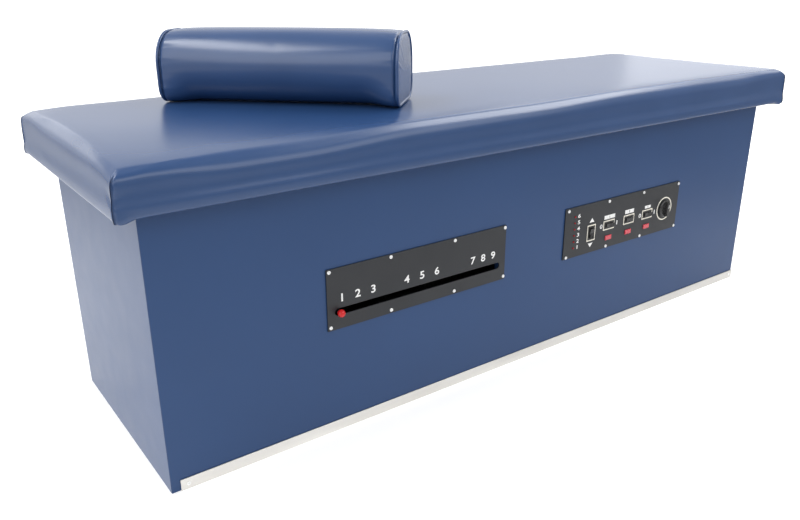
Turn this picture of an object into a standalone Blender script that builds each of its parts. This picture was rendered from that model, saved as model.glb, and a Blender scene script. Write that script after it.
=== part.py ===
"""Roller massage table: an upholstered top on a closed cabinet, with a powered roller carriage inside.

The origin is on the floor under the middle of the cabinet. +X runs from the head end to the foot end,
-Y is the front with the two control plates, and +Z is up. All sizes are in metres.
"""

import math

import bpy
import bmesh
from mathutils import Matrix

for old_object in list(bpy.data.objects):
    bpy.data.objects.remove(old_object, do_unlink=True)

# Sizes

INCH = 0.0254

# Fits: between pieces that touch, round running parts, and between switch parts that move.
FIT_GAP = 0.0003
RUN_GAP = 0.0002
TRAVEL_GAP = 0.0012

# Cabinet: laminated boards folded at mitred corners, on a base board.
CABINET_LENGTH = 76 * INCH
CABINET_WIDTH = 22 * INCH
CABINET_HEIGHT = 23 * INCH
BOARD = 0.019
BOARD_EDGE = 0.0008
BASE_BOARD = 0.018
STRIP_HEIGHT = 1 * INCH
STRIP_THICK = 0.003
STRIP_START = 0.019
STRIP_EDGE = 0.0006

# Upholstered top: plywood deck, foam with a roller channel below, vinyl cover stapled under the deck.
TOP_OVERHANG = 2 * INCH
TOP_THICK = 4 * INCH
TOP_CROWN = 0.008
TOP_EDGE_RADIUS = 0.026
TOP_CORNER_RADIUS = 0.014
TOP_CORNER_LEAST = 0.006
TOP_DRAW_IN = 0.004
CORNER_SEAM_DEPTH = 0.0030
CORNER_EAR_DROP = 0.005
DECK_THICK = 0.019
DECK_CORNER_RADIUS = 0.030
DECK_EDGE = 0.004
COVER_THICK = 0.0012
COVER_HEM = 0.034
HEM_BEND = 0.004
FOAM_OVER_ROLLERS = 0.012

# Bolster: a loose firm cushion with piped ends, lying askew on the head half of the top.
BOLSTER_LENGTH = 22 * INCH
BOLSTER_WIDTH = 8 * INCH
BOLSTER_HEIGHT = 0.160
BOLSTER_TOP_RADIUS = 0.074
BOLSTER_BASE_RADIUS = 0.050
BOLSTER_FROM_HEAD = 0.4815
BOLSTER_FROM_CENTRE = 0.0495
BOLSTER_TURN = math.radians(-46)
BOLSTER_END_DOME = 0.004
PIPING_WIDTH = 0.0065
PIPING_PUCKER = 0.036

# Front plates.
PLATE_THICK = 0.003
PLATE_HEIGHT = 5.5 * INCH
PLATE_CENTRE_Z = 0.3185
ROLLER_PLATE_LENGTH = 20 * INCH
ROLLER_PLATE_FROM_HEAD = 0.622
CONTROL_PLATE_LENGTH = 19 * INCH
CONTROL_PLATE_FROM_HEAD = 1.3285
SLOT_MARGIN = 0.018
SLOT_HEIGHT = 0.0165
SLOT_BELOW_CENTRE = 0.030
SLOT_END_GAP = 0.0015
CUTOUT_MARGIN_SIDE = 0.014
CUTOUT_MARGIN_TOP = 0.020

# Control positions on the control plate, as shares of its length and height from its centre.
LED_COLUMN = -0.423
LIFT_SWITCH_COLUMN = -0.283
MODE_SWITCH_COLUMN = -0.133
START_BUTTON_COLUMN = 0.041
AUX_SWITCH_COLUMN = 0.209
TIMER_COLUMN = 0.372
LED_ROW_SPAN = 0.62
LIFT_SWITCH_ROW = -0.100
SWITCH_ROW = -0.034
LAMP_ROW = -0.294
TIMER_ROW = -0.018
LED_COUNT = 6

# Switches, lamps and timer.
SWITCH_LENGTH = 0.038
SWITCH_WIDTH = 0.0195
LIFT_SWITCH_WIDTH = 0.025
SWITCH_FLANGE = 0.0018
SWITCH_RIM = 0.0030
SWITCH_WALL = 0.0014
SWITCH_DEPTH = 0.022
SWITCH_WELL = 0.010
SWITCH_CHAMFER = 0.0005
ROCKER_TILT = math.radians(8)
ROCKER_RISE = 0.0065
ROCKER_DIP = 0.0040
ROCKER_TAPER = 0.0015
ROCKER_FLOOR_GAP = 0.0006
BUTTON_RISE = 0.0030
BUTTON_CHAMFER = 0.0008
LAMP_LENGTH = 0.025
LAMP_WIDTH = 0.013
LAMP_RISE = 0.0030
LAMP_STEM = 0.016
LAMP_RIM = 0.0015
LAMP_CHAMFER = 0.0015
LED_RADIUS = 0.0025
LED_BODY = 0.0045
LED_COLLAR = 0.0008
LED_PROUD = 0.0004
TIMER_BODY = 0.040
TIMER_BODY_DEPTH = 0.028
TIMER_SHAFT_RADIUS = 0.003
KNOB_RADIUS = 0.025
KNOB_SKIRT = 0.0060
KNOB_GRIP_WIDTH = 0.0130
KNOB_GRIP_RISE = 0.0160
KNOB_EDGE = 0.0015
CONTROL_BOX_DEPTH = 0.075
CONTROL_BOX_WALL = 0.0015
CONTROL_BOX_FLANGE = 0.010

# Power inlet on the back board.
INLET_FROM_FOOT = 0.300
INLET_HEIGHT = 0.110
INLET_FLANGE = (0.048, 0.028)
INLET_BODY = (0.027, 0.0205)
INLET_FLANGE_THICK = 0.0025
INLET_DEPTH = 0.030
INLET_WALL = 0.0015
INLET_RECESS = 0.016
INLET_PIN = (0.002, 0.004)
INLET_PIN_SPREAD = 0.007
INLET_PIN_STEP = 0.002
INLET_PIN_BACK = 0.001

# Roller carriage on two round rails.
ROD_RADIUS = 0.0045
POINTER_RADIUS = 0.00875
POINTER_STANDOFF = 0.0015
POINTER_SEAT = 0.0005
RAIL_RADIUS = 0.010
RAIL_SPREAD = 0.280
SUPPORT_THICK = 0.010
SUPPORT_FOOT = 0.060
SUPPORT_MARGIN = 0.060
SUPPORT_OVER_RAIL = 0.030
CARRIAGE_LENGTH = 0.180
CARRIAGE_PLATE = 0.008
CARRIAGE_SIDE = 0.030
CARRIAGE_STOP = 0.030
CARRIAGE_EDGE = 0.001
BLOCK_LENGTH = 0.120
BLOCK_SIZE = 0.050

# Roller head that the lift raises from the carriage.
LIFT_STROKE = 0.045
ROLLER_RADIUS = 0.050
ROLLER_WIDTH = 0.060
ROLLER_SPREAD = 0.110
ROLLER_SHOULDER = 0.012
ROLLER_SIDE_GAP = 0.003
ROLLER_HEADROOM = 0.007
AXLE_RADIUS = 0.006
AXLE_PAST = 0.004
YOKE_LENGTH = 0.130
YOKE_PLATE = 0.010
YOKE_EAR_THICK = 0.008
YOKE_EAR_LENGTH = 0.044
YOKE_EAR_OVER_AXLE = 0.010
YOKE_UNDER_ROLLER = 0.010
CHANNEL_END = 0.020
CHANNEL_SIDE = 0.016
POST_RADIUS = 0.008
POST_SPREAD = 0.090
POST_PAST = 0.012
LIFT_ROD_RADIUS = 0.010
LIFT_TUBE_RADIUS = 0.025
LIFT_ROD_SHOWN = 0.055
LIFT_ROD_HELD = 0.050
LIFT_BORE_END = 0.002
LIFT_BASE = 0.030
LIFT_BASE_MARGIN = 0.004
LIFT_MOTOR_RADIUS = 0.020
LIFT_MOTOR_OFFSET = 0.060
LIFT_MOTOR_LENGTH = 0.090

# Belt drive under the carriage.
PULLEY_RADIUS = 0.025
PULLEY_FLANGE = 0.0050
PULLEY_RIM = 0.0015
PULLEY_SHAFT = 0.007
PULLEY_CLEAR = 0.004
DRIVE_SHAFT_HELD = 0.020
DRIVE_BORE_END = 0.0005
BELT_WIDTH = 0.018
BELT_THICK = 0.003
BELT_AXIS_HEIGHT = 0.090
BELT_RUN_PAST = 0.060
DRIVE_ARM = 0.030
CLAMP_THICK = 0.005
GEARBOX = 0.100
GEARBOX_WIDTH = 0.080
GEARBOX_EDGE = 0.006
MOTOR_RADIUS = 0.035
MOTOR_LENGTH = 0.150
MOTOR_FLANGE = 0.012
MOTOR_CAP = 0.030
MOTOR_CAP_EDGE = 0.006
IDLER_EAR = 0.006
IDLER_SIDE_GAP = 0.001
IDLER_OVER_SHAFT = 0.010
IDLER_BRACKET = 0.040

# Steps round a circle, and the angle from which an edge of a round piece is left sharp.
FINE_STEPS = 32
ROUND_STEPS = 20
SMALL_STEPS = 12
SHARP_ANGLE = math.radians(35)

# Places worked out from the sizes

HEAD_X = -CABINET_LENGTH / 2
FOOT_X = CABINET_LENGTH / 2
FRONT_Y = -CABINET_WIDTH / 2
BACK_Y = CABINET_WIDTH / 2
INNER_FRONT_Y = FRONT_Y + BOARD
INNER_BACK_Y = BACK_Y - BOARD
PLATE_BACK_Y = FRONT_Y - FIT_GAP
PLATE_FACE_Y = PLATE_BACK_Y - PLATE_THICK

TOP_LENGTH = CABINET_LENGTH + 2 * TOP_OVERHANG
TOP_WIDTH = CABINET_WIDTH + 2 * TOP_OVERHANG
TOP_Z = CABINET_HEIGHT + TOP_THICK
DECK_LOW = CABINET_HEIGHT + FIT_GAP
DECK_HIGH = DECK_LOW + DECK_THICK
HEM_LOW = DECK_LOW - FIT_GAP - COVER_THICK
FOAM_SKIN = COVER_THICK + FIT_GAP
FOAM_LOW = DECK_HIGH + FIT_GAP
CHANNEL_CEILING = TOP_Z - FOAM_SKIN - FOAM_OVER_ROLLERS

ROLLER_PLATE_X = HEAD_X + ROLLER_PLATE_FROM_HEAD
CONTROL_PLATE_X = HEAD_X + CONTROL_PLATE_FROM_HEAD
SLOT_LENGTH = ROLLER_PLATE_LENGTH - 2 * SLOT_MARGIN
SLOT_Z = PLATE_CENTRE_Z - SLOT_BELOW_CENTRE
CARRIAGE_TRAVEL = SLOT_LENGTH - SLOT_HEIGHT - 2 * SLOT_END_GAP
CARRIAGE_X = ROLLER_PLATE_X - CARRIAGE_TRAVEL / 2
CARRIAGE_END_X = CARRIAGE_X + CARRIAGE_TRAVEL

CARRIAGE_HIGH = SLOT_Z - ROD_RADIUS - FIT_GAP
CARRIAGE_LOW = CARRIAGE_HIGH - CARRIAGE_PLATE
BLOCK_HIGH = CARRIAGE_LOW - FIT_GAP
RAIL_Z = BLOCK_HIGH - BLOCK_SIZE / 2
BASE_HIGH = BASE_BOARD + FIT_GAP

AXLE_Z = CHANNEL_CEILING - ROLLER_HEADROOM - LIFT_STROKE - ROLLER_RADIUS
YOKE_HIGH = AXLE_Z - ROLLER_RADIUS - YOKE_UNDER_ROLLER
YOKE_LOW = YOKE_HIGH - YOKE_PLATE
YOKE_INSIDE = ROLLER_SPREAD / 2 + ROLLER_WIDTH / 2 + ROLLER_SIDE_GAP
YOKE_OUTSIDE = YOKE_INSIDE + YOKE_EAR_THICK
CHANNEL_HALF_WIDTH = YOKE_OUTSIDE + CHANNEL_SIDE
CHANNEL_HEAD_X = CARRIAGE_X - ROLLER_RADIUS - CHANNEL_END
CHANNEL_FOOT_X = CARRIAGE_END_X + ROLLER_RADIUS + CHANNEL_END

BELT_INNER = PULLEY_RADIUS + FIT_GAP
BELT_OUTER = BELT_INNER + BELT_THICK
PULLEY_HALF = BELT_WIDTH / 2 + FIT_GAP + PULLEY_RIM
IDLER_X = CARRIAGE_X - BELT_RUN_PAST
DRIVE_X = CARRIAGE_END_X + BELT_RUN_PAST

FACING_FRONT = (math.pi / 2, 0, 0)
FACING_BACK = (math.pi / 2, 0, math.pi)
ALONG_X = (0, math.pi / 2, 0)
ALONG_Y = (math.pi / 2, 0, 0)
AXIS_X = Matrix.Rotation(math.pi / 2, 4, "Y")
AXIS_Y = Matrix.Rotation(math.pi / 2, 4, "X")

# Finishes: base colour, metallic, roughness.
LAMINATE = ((0.060, 0.105, 0.205), 0.0, 0.45)
PLYWOOD = ((0.430, 0.290, 0.165), 0.0, 0.70)
CHIPBOARD = ((0.360, 0.270, 0.180), 0.0, 0.85)
VINYL = ((0.060, 0.110, 0.250), 0.0, 0.32)
FOAM = ((0.750, 0.700, 0.520), 0.0, 0.95)
BRIGHT_TRIM = ((0.760, 0.750, 0.720), 0.9, 0.35)
PANEL_BLACK = ((0.055, 0.056, 0.060), 0.3, 0.45)
SWITCH_BLACK = ((0.015, 0.015, 0.016), 0.0, 0.35)
LENS_RED = ((0.650, 0.030, 0.045), 0.0, 0.20)
POINTER_RED = ((0.750, 0.020, 0.020), 0.0, 0.22)
ZINC = ((0.550, 0.560, 0.570), 0.9, 0.40)
STEEL = ((0.620, 0.630, 0.640), 1.0, 0.22)
CASTING = ((0.300, 0.310, 0.320), 0.7, 0.50)
MOTOR_BLACK = ((0.040, 0.042, 0.045), 0.3, 0.45)
BELT_RUBBER = ((0.020, 0.020, 0.020), 0.0, 0.80)
ROLLER_RUBBER = ((0.100, 0.085, 0.070), 0.0, 0.65)


# Shared steps

def place(name, mesh_data, look, centre, turn=(0, 0, 0), smooth=False):
    """Puts a finished mesh into the scene as one named piece with its own material."""
    bmesh.ops.recalc_face_normals(mesh_data, faces=mesh_data.faces)
    mesh = bpy.data.meshes.new(name)
    mesh_data.to_mesh(mesh)
    mesh_data.free()
    if smooth:
        mesh.shade_smooth()
        mesh.set_sharp_from_angle(angle=SHARP_ANGLE)
    piece = bpy.data.objects.new(name, mesh)
    bpy.context.scene.collection.objects.link(piece)
    piece.location = centre
    piece.rotation_euler = turn
    colour, metallic, roughness = look
    material = bpy.data.materials.new(name)
    material.use_nodes = True
    shader = material.node_tree.nodes["Principled BSDF"]
    shader.inputs["Base Color"].default_value = (*colour, 1.0)
    shader.inputs["Metallic"].default_value = metallic
    shader.inputs["Roughness"].default_value = roughness
    mesh.materials.append(material)
    return piece


def add_box(mesh_data, size, centre):
    """Adds a box to a mesh."""
    shape = Matrix.Translation(centre) @ Matrix.Diagonal((*size, 1.0))
    bmesh.ops.create_cube(mesh_data, size=1.0, matrix=shape)


def add_rod(mesh_data, radius, length, centre, steps, turn=None):
    """Adds a closed cylinder along local Z, or along the axis that the turn gives."""
    shape = Matrix.Translation(centre)
    if turn is not None:
        shape = shape @ turn
    bmesh.ops.create_cone(mesh_data, cap_ends=True, segments=steps, radius1=radius, radius2=radius,
                          depth=length, matrix=shape)


def box_piece(name, low, high, look, edge=0.0):
    """A board or block between two corners, with its edges eased when an edge size is given."""
    size = [b - a for a, b in zip(low, high)]
    centre = [(a + b) / 2 for a, b in zip(low, high)]
    mesh_data = bmesh.new()
    add_box(mesh_data, size, (0, 0, 0))
    piece = place(name, mesh_data, look, centre)
    if edge:
        ease_edges(piece, edge)
    return piece


def rod_piece(name, radius, length, look, centre, turn, steps=ROUND_STEPS):
    """A plain round bar."""
    mesh_data = bmesh.new()
    add_rod(mesh_data, radius, length, (0, 0, 0), steps)
    return place(name, mesh_data, look, centre, turn, smooth=True)


def add_loft(mesh_data, rings, joined=False, fold=None):
    """Skins a row of rings with faces, and closes the ends, or joins the last ring to the first.

    A soft skin gives the ring where it folds back, so that both its layers crease along the same lines.
    """
    rows = [[mesh_data.verts.new(point) for point in ring] for ring in rings]
    pairs = list(zip(rows, rows[1:]))
    if joined:
        pairs.append((rows[-1], rows[0]))
    for level, (lower, upper) in enumerate(pairs):
        count = len(lower)
        for i in range(count):
            k = (i + 1) % count
            if fold is None:
                mesh_data.faces.new((lower[i], lower[k], upper[k], upper[i]))
            elif level < fold:
                mesh_data.faces.new((lower[i], lower[k], upper[k]))
                mesh_data.faces.new((lower[i], upper[k], upper[i]))
            else:
                mesh_data.faces.new((lower[i], lower[k], upper[i]))
                mesh_data.faces.new((lower[k], upper[k], upper[i]))
    if not joined:
        mesh_data.faces.new(list(reversed(rows[0])))
        mesh_data.faces.new(rows[-1])


def loft_piece(name, rings, look, centre, turn=(0, 0, 0), joined=False, smooth=False, fold=None):
    """A piece skinned over rings of points."""
    mesh_data = bmesh.new()
    add_loft(mesh_data, rings, joined, fold)
    return place(name, mesh_data, look, centre, turn, smooth)


def prism_piece(name, outline, low, high, look, centre, turn=(0, 0, 0)):
    """An outline in local XY pulled straight along local Z."""
    rings = [[(x, y, z) for x, y in outline] for z in (low, high)]
    return loft_piece(name, rings, look, centre, turn)


def circle(radius, height, steps):
    """A ring of points round local Z."""
    turns = [2 * math.pi * (i + 0.5) / steps for i in range(steps)]
    return [(radius * math.cos(a), radius * math.sin(a), height) for a in turns]


def turned(profile, steps):
    """Rings for a round piece from its radius and height along the axis."""
    return [circle(radius, height, steps) for radius, height in profile]


def rectangle(width, height, level):
    """A ring of four points round local Z."""
    x = width / 2
    y = height / 2
    return [(-x, -y, level), (x, -y, level), (x, y, level), (-x, y, level)]


def rounded_outline(half_x, half_y, radius, steps):
    """A rectangle with round corners, as points in order."""
    points = []
    for corner, (side_x, side_y) in enumerate(((1, 1), (-1, 1), (-1, -1), (1, -1))):
        for i in range(steps + 1):
            a = math.pi / 2 * (corner + i / steps)
            points.append((side_x * (half_x - radius) + radius * math.cos(a),
                           side_y * (half_y - radius) + radius * math.sin(a)))
    return points


def ease_edges(piece, width, segments=1):
    """Rounds over the sharp edges of a piece."""
    bevel = piece.modifiers.new("eased edges", "BEVEL")
    bevel.width = width
    bevel.segments = segments
    bevel.limit_method = "ANGLE"
    bevel.angle_limit = SHARP_ANGLE


def shape_with(piece, mesh_data, operation):
    """Cuts a hidden shape out of a piece, or joins it on."""
    bmesh.ops.recalc_face_normals(mesh_data, faces=mesh_data.faces)
    mesh = bpy.data.meshes.new(piece.name + "_tool")
    mesh_data.to_mesh(mesh)
    mesh_data.free()
    tool = bpy.data.objects.new(piece.name + "_tool", mesh)
    bpy.context.scene.collection.objects.link(tool)
    tool.location = piece.location
    tool.rotation_euler = piece.rotation_euler
    tool.hide_render = True
    tool.display_type = "WIRE"
    boolean = piece.modifiers.new("shaping", "BOOLEAN")
    boolean.object = tool
    boolean.operation = operation
    boolean.solver = "EXACT"


# Cabinet

def mitred_board(name, length, look):
    """A cabinet wall seen in plan: its ends are mitred, and its outer face is local -Y."""
    half = length / 2 - FIT_GAP / 2
    outline = [(-half, 0), (half, 0), (half - BOARD, BOARD), (-half + BOARD, BOARD)]
    board = prism_piece(name, outline, 0, CABINET_HEIGHT, look, (0, 0, 0))
    ease_edges(board, BOARD_EDGE)
    return board


front_panel = mitred_board("front_panel", CABINET_LENGTH, LAMINATE)
front_panel.location = (0, FRONT_Y, 0)
back_panel = mitred_board("back_panel", CABINET_LENGTH, LAMINATE)
back_panel.location = (0, BACK_Y, 0)
back_panel.rotation_euler = (0, 0, math.pi)
head_end_panel = mitred_board("head_end_panel", CABINET_WIDTH, LAMINATE)
head_end_panel.location = (HEAD_X, 0, 0)
head_end_panel.rotation_euler = (0, 0, -math.pi / 2)
foot_end_panel = mitred_board("foot_end_panel", CABINET_WIDTH, LAMINATE)
foot_end_panel.location = (FOOT_X, 0, 0)
foot_end_panel.rotation_euler = (0, 0, math.pi / 2)

# The front wall is cut away behind each plate.
ROLLER_CUTOUT_LENGTH = ROLLER_PLATE_LENGTH - 2 * CUTOUT_MARGIN_SIDE
CONTROL_CUTOUT_LENGTH = CONTROL_PLATE_LENGTH - 2 * CUTOUT_MARGIN_SIDE
CUTOUT_HEIGHT = PLATE_HEIGHT - 2 * CUTOUT_MARGIN_TOP
cutouts = bmesh.new()
for cutout_x, cutout_length in ((ROLLER_PLATE_X, ROLLER_CUTOUT_LENGTH),
                                (CONTROL_PLATE_X, CONTROL_CUTOUT_LENGTH)):
    add_box(cutouts, (cutout_length, 3 * BOARD, CUTOUT_HEIGHT), (cutout_x, BOARD / 2, PLATE_CENTRE_Z))
shape_with(front_panel, cutouts, "DIFFERENCE")

# The base board fills the foot of the cabinet and carries the rails and the drive.
box_piece("base_board",
          (HEAD_X + BOARD + FIT_GAP, INNER_FRONT_Y + FIT_GAP, 0),
          (FOOT_X - BOARD - FIT_GAP, INNER_BACK_Y - FIT_GAP, BASE_BOARD),
          CHIPBOARD)

# A bright metal strip guards the foot of the front wall.
box_piece("kick_strip",
          (HEAD_X + STRIP_START, PLATE_BACK_Y - STRIP_THICK, FIT_GAP),
          (FOOT_X, PLATE_BACK_Y, STRIP_HEIGHT),
          BRIGHT_TRIM, edge=STRIP_EDGE)

# Upholstered top

# The deck is one plywood board, with an opening where the rollers travel.
deck_half_x = TOP_LENGTH / 2 - COVER_THICK - FIT_GAP
deck_half_y = TOP_WIDTH / 2 - COVER_THICK - FIT_GAP
deck_board = prism_piece("deck_board",
                         rounded_outline(deck_half_x, deck_half_y, DECK_CORNER_RADIUS, 4),
                         DECK_LOW, DECK_HIGH, PLYWOOD, (0, 0, 0))
ease_edges(deck_board, DECK_EDGE)
channel_middle_x = (CHANNEL_HEAD_X + CHANNEL_FOOT_X) / 2
channel_length = CHANNEL_FOOT_X - CHANNEL_HEAD_X
deck_opening = bmesh.new()
add_box(deck_opening, (channel_length, 2 * CHANNEL_HALF_WIDTH, 3 * DECK_THICK),
        (channel_middle_x, 0, (DECK_LOW + DECK_HIGH) / 2))
shape_with(deck_board, deck_opening, "DIFFERENCE")

# How far in from the soft edge each ring of the crown lies, and its share of the crown's drop.
CROWN_RINGS = ((0.124, 0.0), (0.064, 0.15), (0.024, 0.5))
# Rings over the soft edge, in degrees above level, each with its share of the corner seam's depth.
EDGE_RINGS = ((72, 0.2), (48, 0.7), (24, 1.0), (0, 1.0))
# How fast the corners open out on the way up to the crown.
CORNER_OPENING = 0.6
LONG_SIDE_STEPS = 8
SHORT_SIDE_STEPS = 4
CORNER_STEPS = 4


def top_ring(inset, level, draw, seam, ear):
    """One ring round the top: drawn in between the corners, creased at each sewn corner."""
    half_x = TOP_LENGTH / 2 - inset
    half_y = TOP_WIDTH / 2 - inset
    radius = TOP_CORNER_RADIUS - min(inset, FOAM_SKIN) + CORNER_OPENING * max(inset - FOAM_SKIN, 0)
    radius = max(radius, TOP_CORNER_LEAST)
    corners = rounded_outline(half_x, half_y, radius, CORNER_STEPS)
    ring = []
    for corner in range(4):
        first = corner * (CORNER_STEPS + 1)
        arc = corners[first:first + CORNER_STEPS + 1]
        for i, (x, y) in enumerate(arc):
            if i == CORNER_STEPS // 2:
                x -= math.copysign(seam * math.sqrt(0.5), x)
                y -= math.copysign(seam * math.sqrt(0.5), y)
                ring.append((x, y, level - ear))
            else:
                ring.append((x, y, level))
        start = arc[-1]
        end = corners[(first + CORNER_STEPS + 1) % len(corners)]
        long_side = corner % 2 == 0
        steps = LONG_SIDE_STEPS if long_side else SHORT_SIDE_STEPS
        for i in range(1, steps):
            share = i / steps
            pull = draw * math.sin(math.pi * share)
            x = start[0] + (end[0] - start[0]) * share
            y = start[1] + (end[1] - start[1]) * share
            if long_side:
                y -= math.copysign(pull, y)
            else:
                x -= math.copysign(pull, x)
            ring.append((x, y, level))
    return ring


def top_rings(skin, with_hem, lowest):
    """Rings from the crown of the top, over its soft edge and down its side, a skin's depth inside."""
    rings = []
    for inset, drop in CROWN_RINGS:
        level = TOP_Z - drop * TOP_CROWN - skin
        rings.append(top_ring(TOP_EDGE_RADIUS + inset, level, 0.3 * TOP_DRAW_IN, 0, 0))
    edge_centre = TOP_Z - TOP_CROWN - TOP_EDGE_RADIUS
    radius = TOP_EDGE_RADIUS - skin
    for degrees, seam in EDGE_RINGS:
        a = math.radians(degrees)
        rings.append(top_ring(TOP_EDGE_RADIUS - radius * math.cos(a), edge_centre + radius * math.sin(a),
                              TOP_DRAW_IN, seam * CORNER_SEAM_DEPTH, 0))
    rings.append(top_ring(skin, lowest, 0, CORNER_SEAM_DEPTH, 0))
    if with_hem:
        rings.append(top_ring(skin, HEM_LOW + HEM_BEND, 0, CORNER_SEAM_DEPTH, 0.6 * CORNER_EAR_DROP))
        low = HEM_LOW + skin
        corner = 0.3 * HEM_BEND + 0.7 * skin
        rings.append(top_ring(corner, HEM_LOW + corner, 0, 0.8 * CORNER_SEAM_DEPTH, CORNER_EAR_DROP))
        rings.append(top_ring(HEM_BEND, low, 0, 0.5 * CORNER_SEAM_DEPTH, 0.8 * CORNER_EAR_DROP))
        rings.append(top_ring(COVER_HEM, low, 0, 0, 0))
    return rings


foam_rings = top_rings(FOAM_SKIN, False, FOAM_LOW)
top_foam = loft_piece("top_foam", foam_rings, FOAM, (0, 0, 0), fold=len(foam_rings))
foam_channel = bmesh.new()
add_box(foam_channel, (channel_length, 2 * CHANNEL_HALF_WIDTH, 2 * (CHANNEL_CEILING - FOAM_LOW)),
        (channel_middle_x, 0, FOAM_LOW))
shape_with(top_foam, foam_channel, "DIFFERENCE")

# The cover is one vinyl skin: crown, soft edge, boxed corners with a sewn seam, and a hem under the deck.
outer_rings = top_rings(0, True, DECK_HIGH)
inner_rings = top_rings(COVER_THICK, True, DECK_HIGH)
loft_piece("top_cover", outer_rings + list(reversed(inner_rings)), VINYL, (0, 0, 0), smooth=True,
           fold=len(outer_rings))


# Bolster

def bolster_ring(station, scale):
    """The bolster's section at one place along its length: round above, flatter below."""
    half = BOLSTER_WIDTH / 2
    middle = BOLSTER_HEIGHT / 2
    arcs = ((half - BOLSTER_BASE_RADIUS, BOLSTER_BASE_RADIUS, BOLSTER_BASE_RADIUS, -90),
            (half - BOLSTER_TOP_RADIUS, BOLSTER_HEIGHT - BOLSTER_TOP_RADIUS, BOLSTER_TOP_RADIUS, 0),
            (BOLSTER_TOP_RADIUS - half, BOLSTER_HEIGHT - BOLSTER_TOP_RADIUS, BOLSTER_TOP_RADIUS, 90),
            (BOLSTER_BASE_RADIUS - half, BOLSTER_BASE_RADIUS, BOLSTER_BASE_RADIUS, 180))
    ring = []
    for centre_y, centre_z, radius, start in arcs:
        for i in range(7):
            a = math.radians(start + 15 * i)
            y = centre_y + radius * math.cos(a)
            z = centre_z + radius * math.sin(a)
            ring.append((station, scale * y, max(middle + scale * (z - middle), 0)))
    return ring


# From each end panel's dome over the piping to the body, which puckers in beside the piping and swells again.
bolster_end = BOLSTER_LENGTH / 2
piping_end = bolster_end - BOLSTER_END_DOME
bolster_rings = []
for side in (-1, 1):
    half_rings = [(bolster_end, 0.45), (bolster_end - BOLSTER_END_DOME / 4, 0.80), (piping_end, 0.965),
                  (piping_end + PIPING_WIDTH / 6, 1.0), (piping_end, 1.015),
                  (piping_end - PIPING_WIDTH * 5 / 6, 1.015), (piping_end - PIPING_WIDTH, 0.985),
                  (piping_end - PIPING_PUCKER, 1.0), (bolster_end / 2, 0.995)]
    ordered = half_rings if side < 0 else list(reversed(half_rings))
    bolster_rings += [bolster_ring(side * station, scale) for station, scale in ordered]
loft_piece("bolster", bolster_rings, VINYL,
           (HEAD_X + BOLSTER_FROM_HEAD, BOLSTER_FROM_CENTRE, TOP_Z + FIT_GAP), (0, 0, BOLSTER_TURN),
           smooth=True)

# Front plates

PLATE_LOW = PLATE_CENTRE_Z - PLATE_HEIGHT / 2
PLATE_HIGH = PLATE_CENTRE_Z + PLATE_HEIGHT / 2
roller_plate = box_piece("roller_plate",
                         (ROLLER_PLATE_X - ROLLER_PLATE_LENGTH / 2, PLATE_FACE_Y, PLATE_LOW),
                         (ROLLER_PLATE_X + ROLLER_PLATE_LENGTH / 2, PLATE_BACK_Y, PLATE_HIGH),
                         PANEL_BLACK)
slot_outline = rounded_outline(SLOT_LENGTH / 2, SLOT_HEIGHT / 2, 0.49 * SLOT_HEIGHT, 6)
slot_rings = [[(x, y, z - SLOT_BELOW_CENTRE) for x, z in slot_outline] for y in (-PLATE_THICK, PLATE_THICK)]
slot = bmesh.new()
add_loft(slot, slot_rings)
shape_with(roller_plate, slot, "DIFFERENCE")

control_plate = box_piece("control_plate",
                          (CONTROL_PLATE_X - CONTROL_PLATE_LENGTH / 2, PLATE_FACE_Y, PLATE_LOW),
                          (CONTROL_PLATE_X + CONTROL_PLATE_LENGTH / 2, PLATE_BACK_Y, PLATE_HIGH),
                          PANEL_BLACK)
control_holes = bmesh.new()


def control_place(column, row):
    """A spot on the front face of the control plate."""
    return (CONTROL_PLATE_X + column * CONTROL_PLATE_LENGTH, PLATE_FACE_Y,
            PLATE_CENTRE_Z + row * PLATE_HEIGHT)


def square_hole(column, row, width, height):
    """Opens the control plate for a piece with a square stem."""
    add_box(control_holes, (width + 2 * FIT_GAP, 3 * PLATE_THICK, height + 2 * FIT_GAP),
            (column * CONTROL_PLATE_LENGTH, 0, row * PLATE_HEIGHT))


def round_hole(column, row, radius, steps):
    """Opens the control plate for a piece with a round stem."""
    add_rod(control_holes, radius, 3 * PLATE_THICK,
            (column * CONTROL_PLATE_LENGTH, 0, row * PLATE_HEIGHT), steps, AXIS_Y)


# The control box is an open tray behind the plate, flanged against the inside of the front wall.
TRAY_LENGTH = CONTROL_CUTOUT_LENGTH - 2 * CONTROL_BOX_WALL
TRAY_HEIGHT = CUTOUT_HEIGHT - 2 * CONTROL_BOX_WALL
tray_rings = []
for grow, level in ((-CONTROL_BOX_WALL, CONTROL_BOX_DEPTH - CONTROL_BOX_WALL), (-CONTROL_BOX_WALL, 0),
                    (CONTROL_BOX_FLANGE, 0), (CONTROL_BOX_FLANGE, CONTROL_BOX_WALL),
                    (0, CONTROL_BOX_WALL), (0, CONTROL_BOX_DEPTH)):
    tray_rings.append(rectangle(TRAY_LENGTH + 2 * grow, TRAY_HEIGHT + 2 * grow, -level))
loft_piece("control_box", tray_rings, ZINC,
           (CONTROL_PLATE_X, INNER_FRONT_Y + FIT_GAP, PLATE_CENTRE_Z), FACING_FRONT)


# Switches

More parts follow.
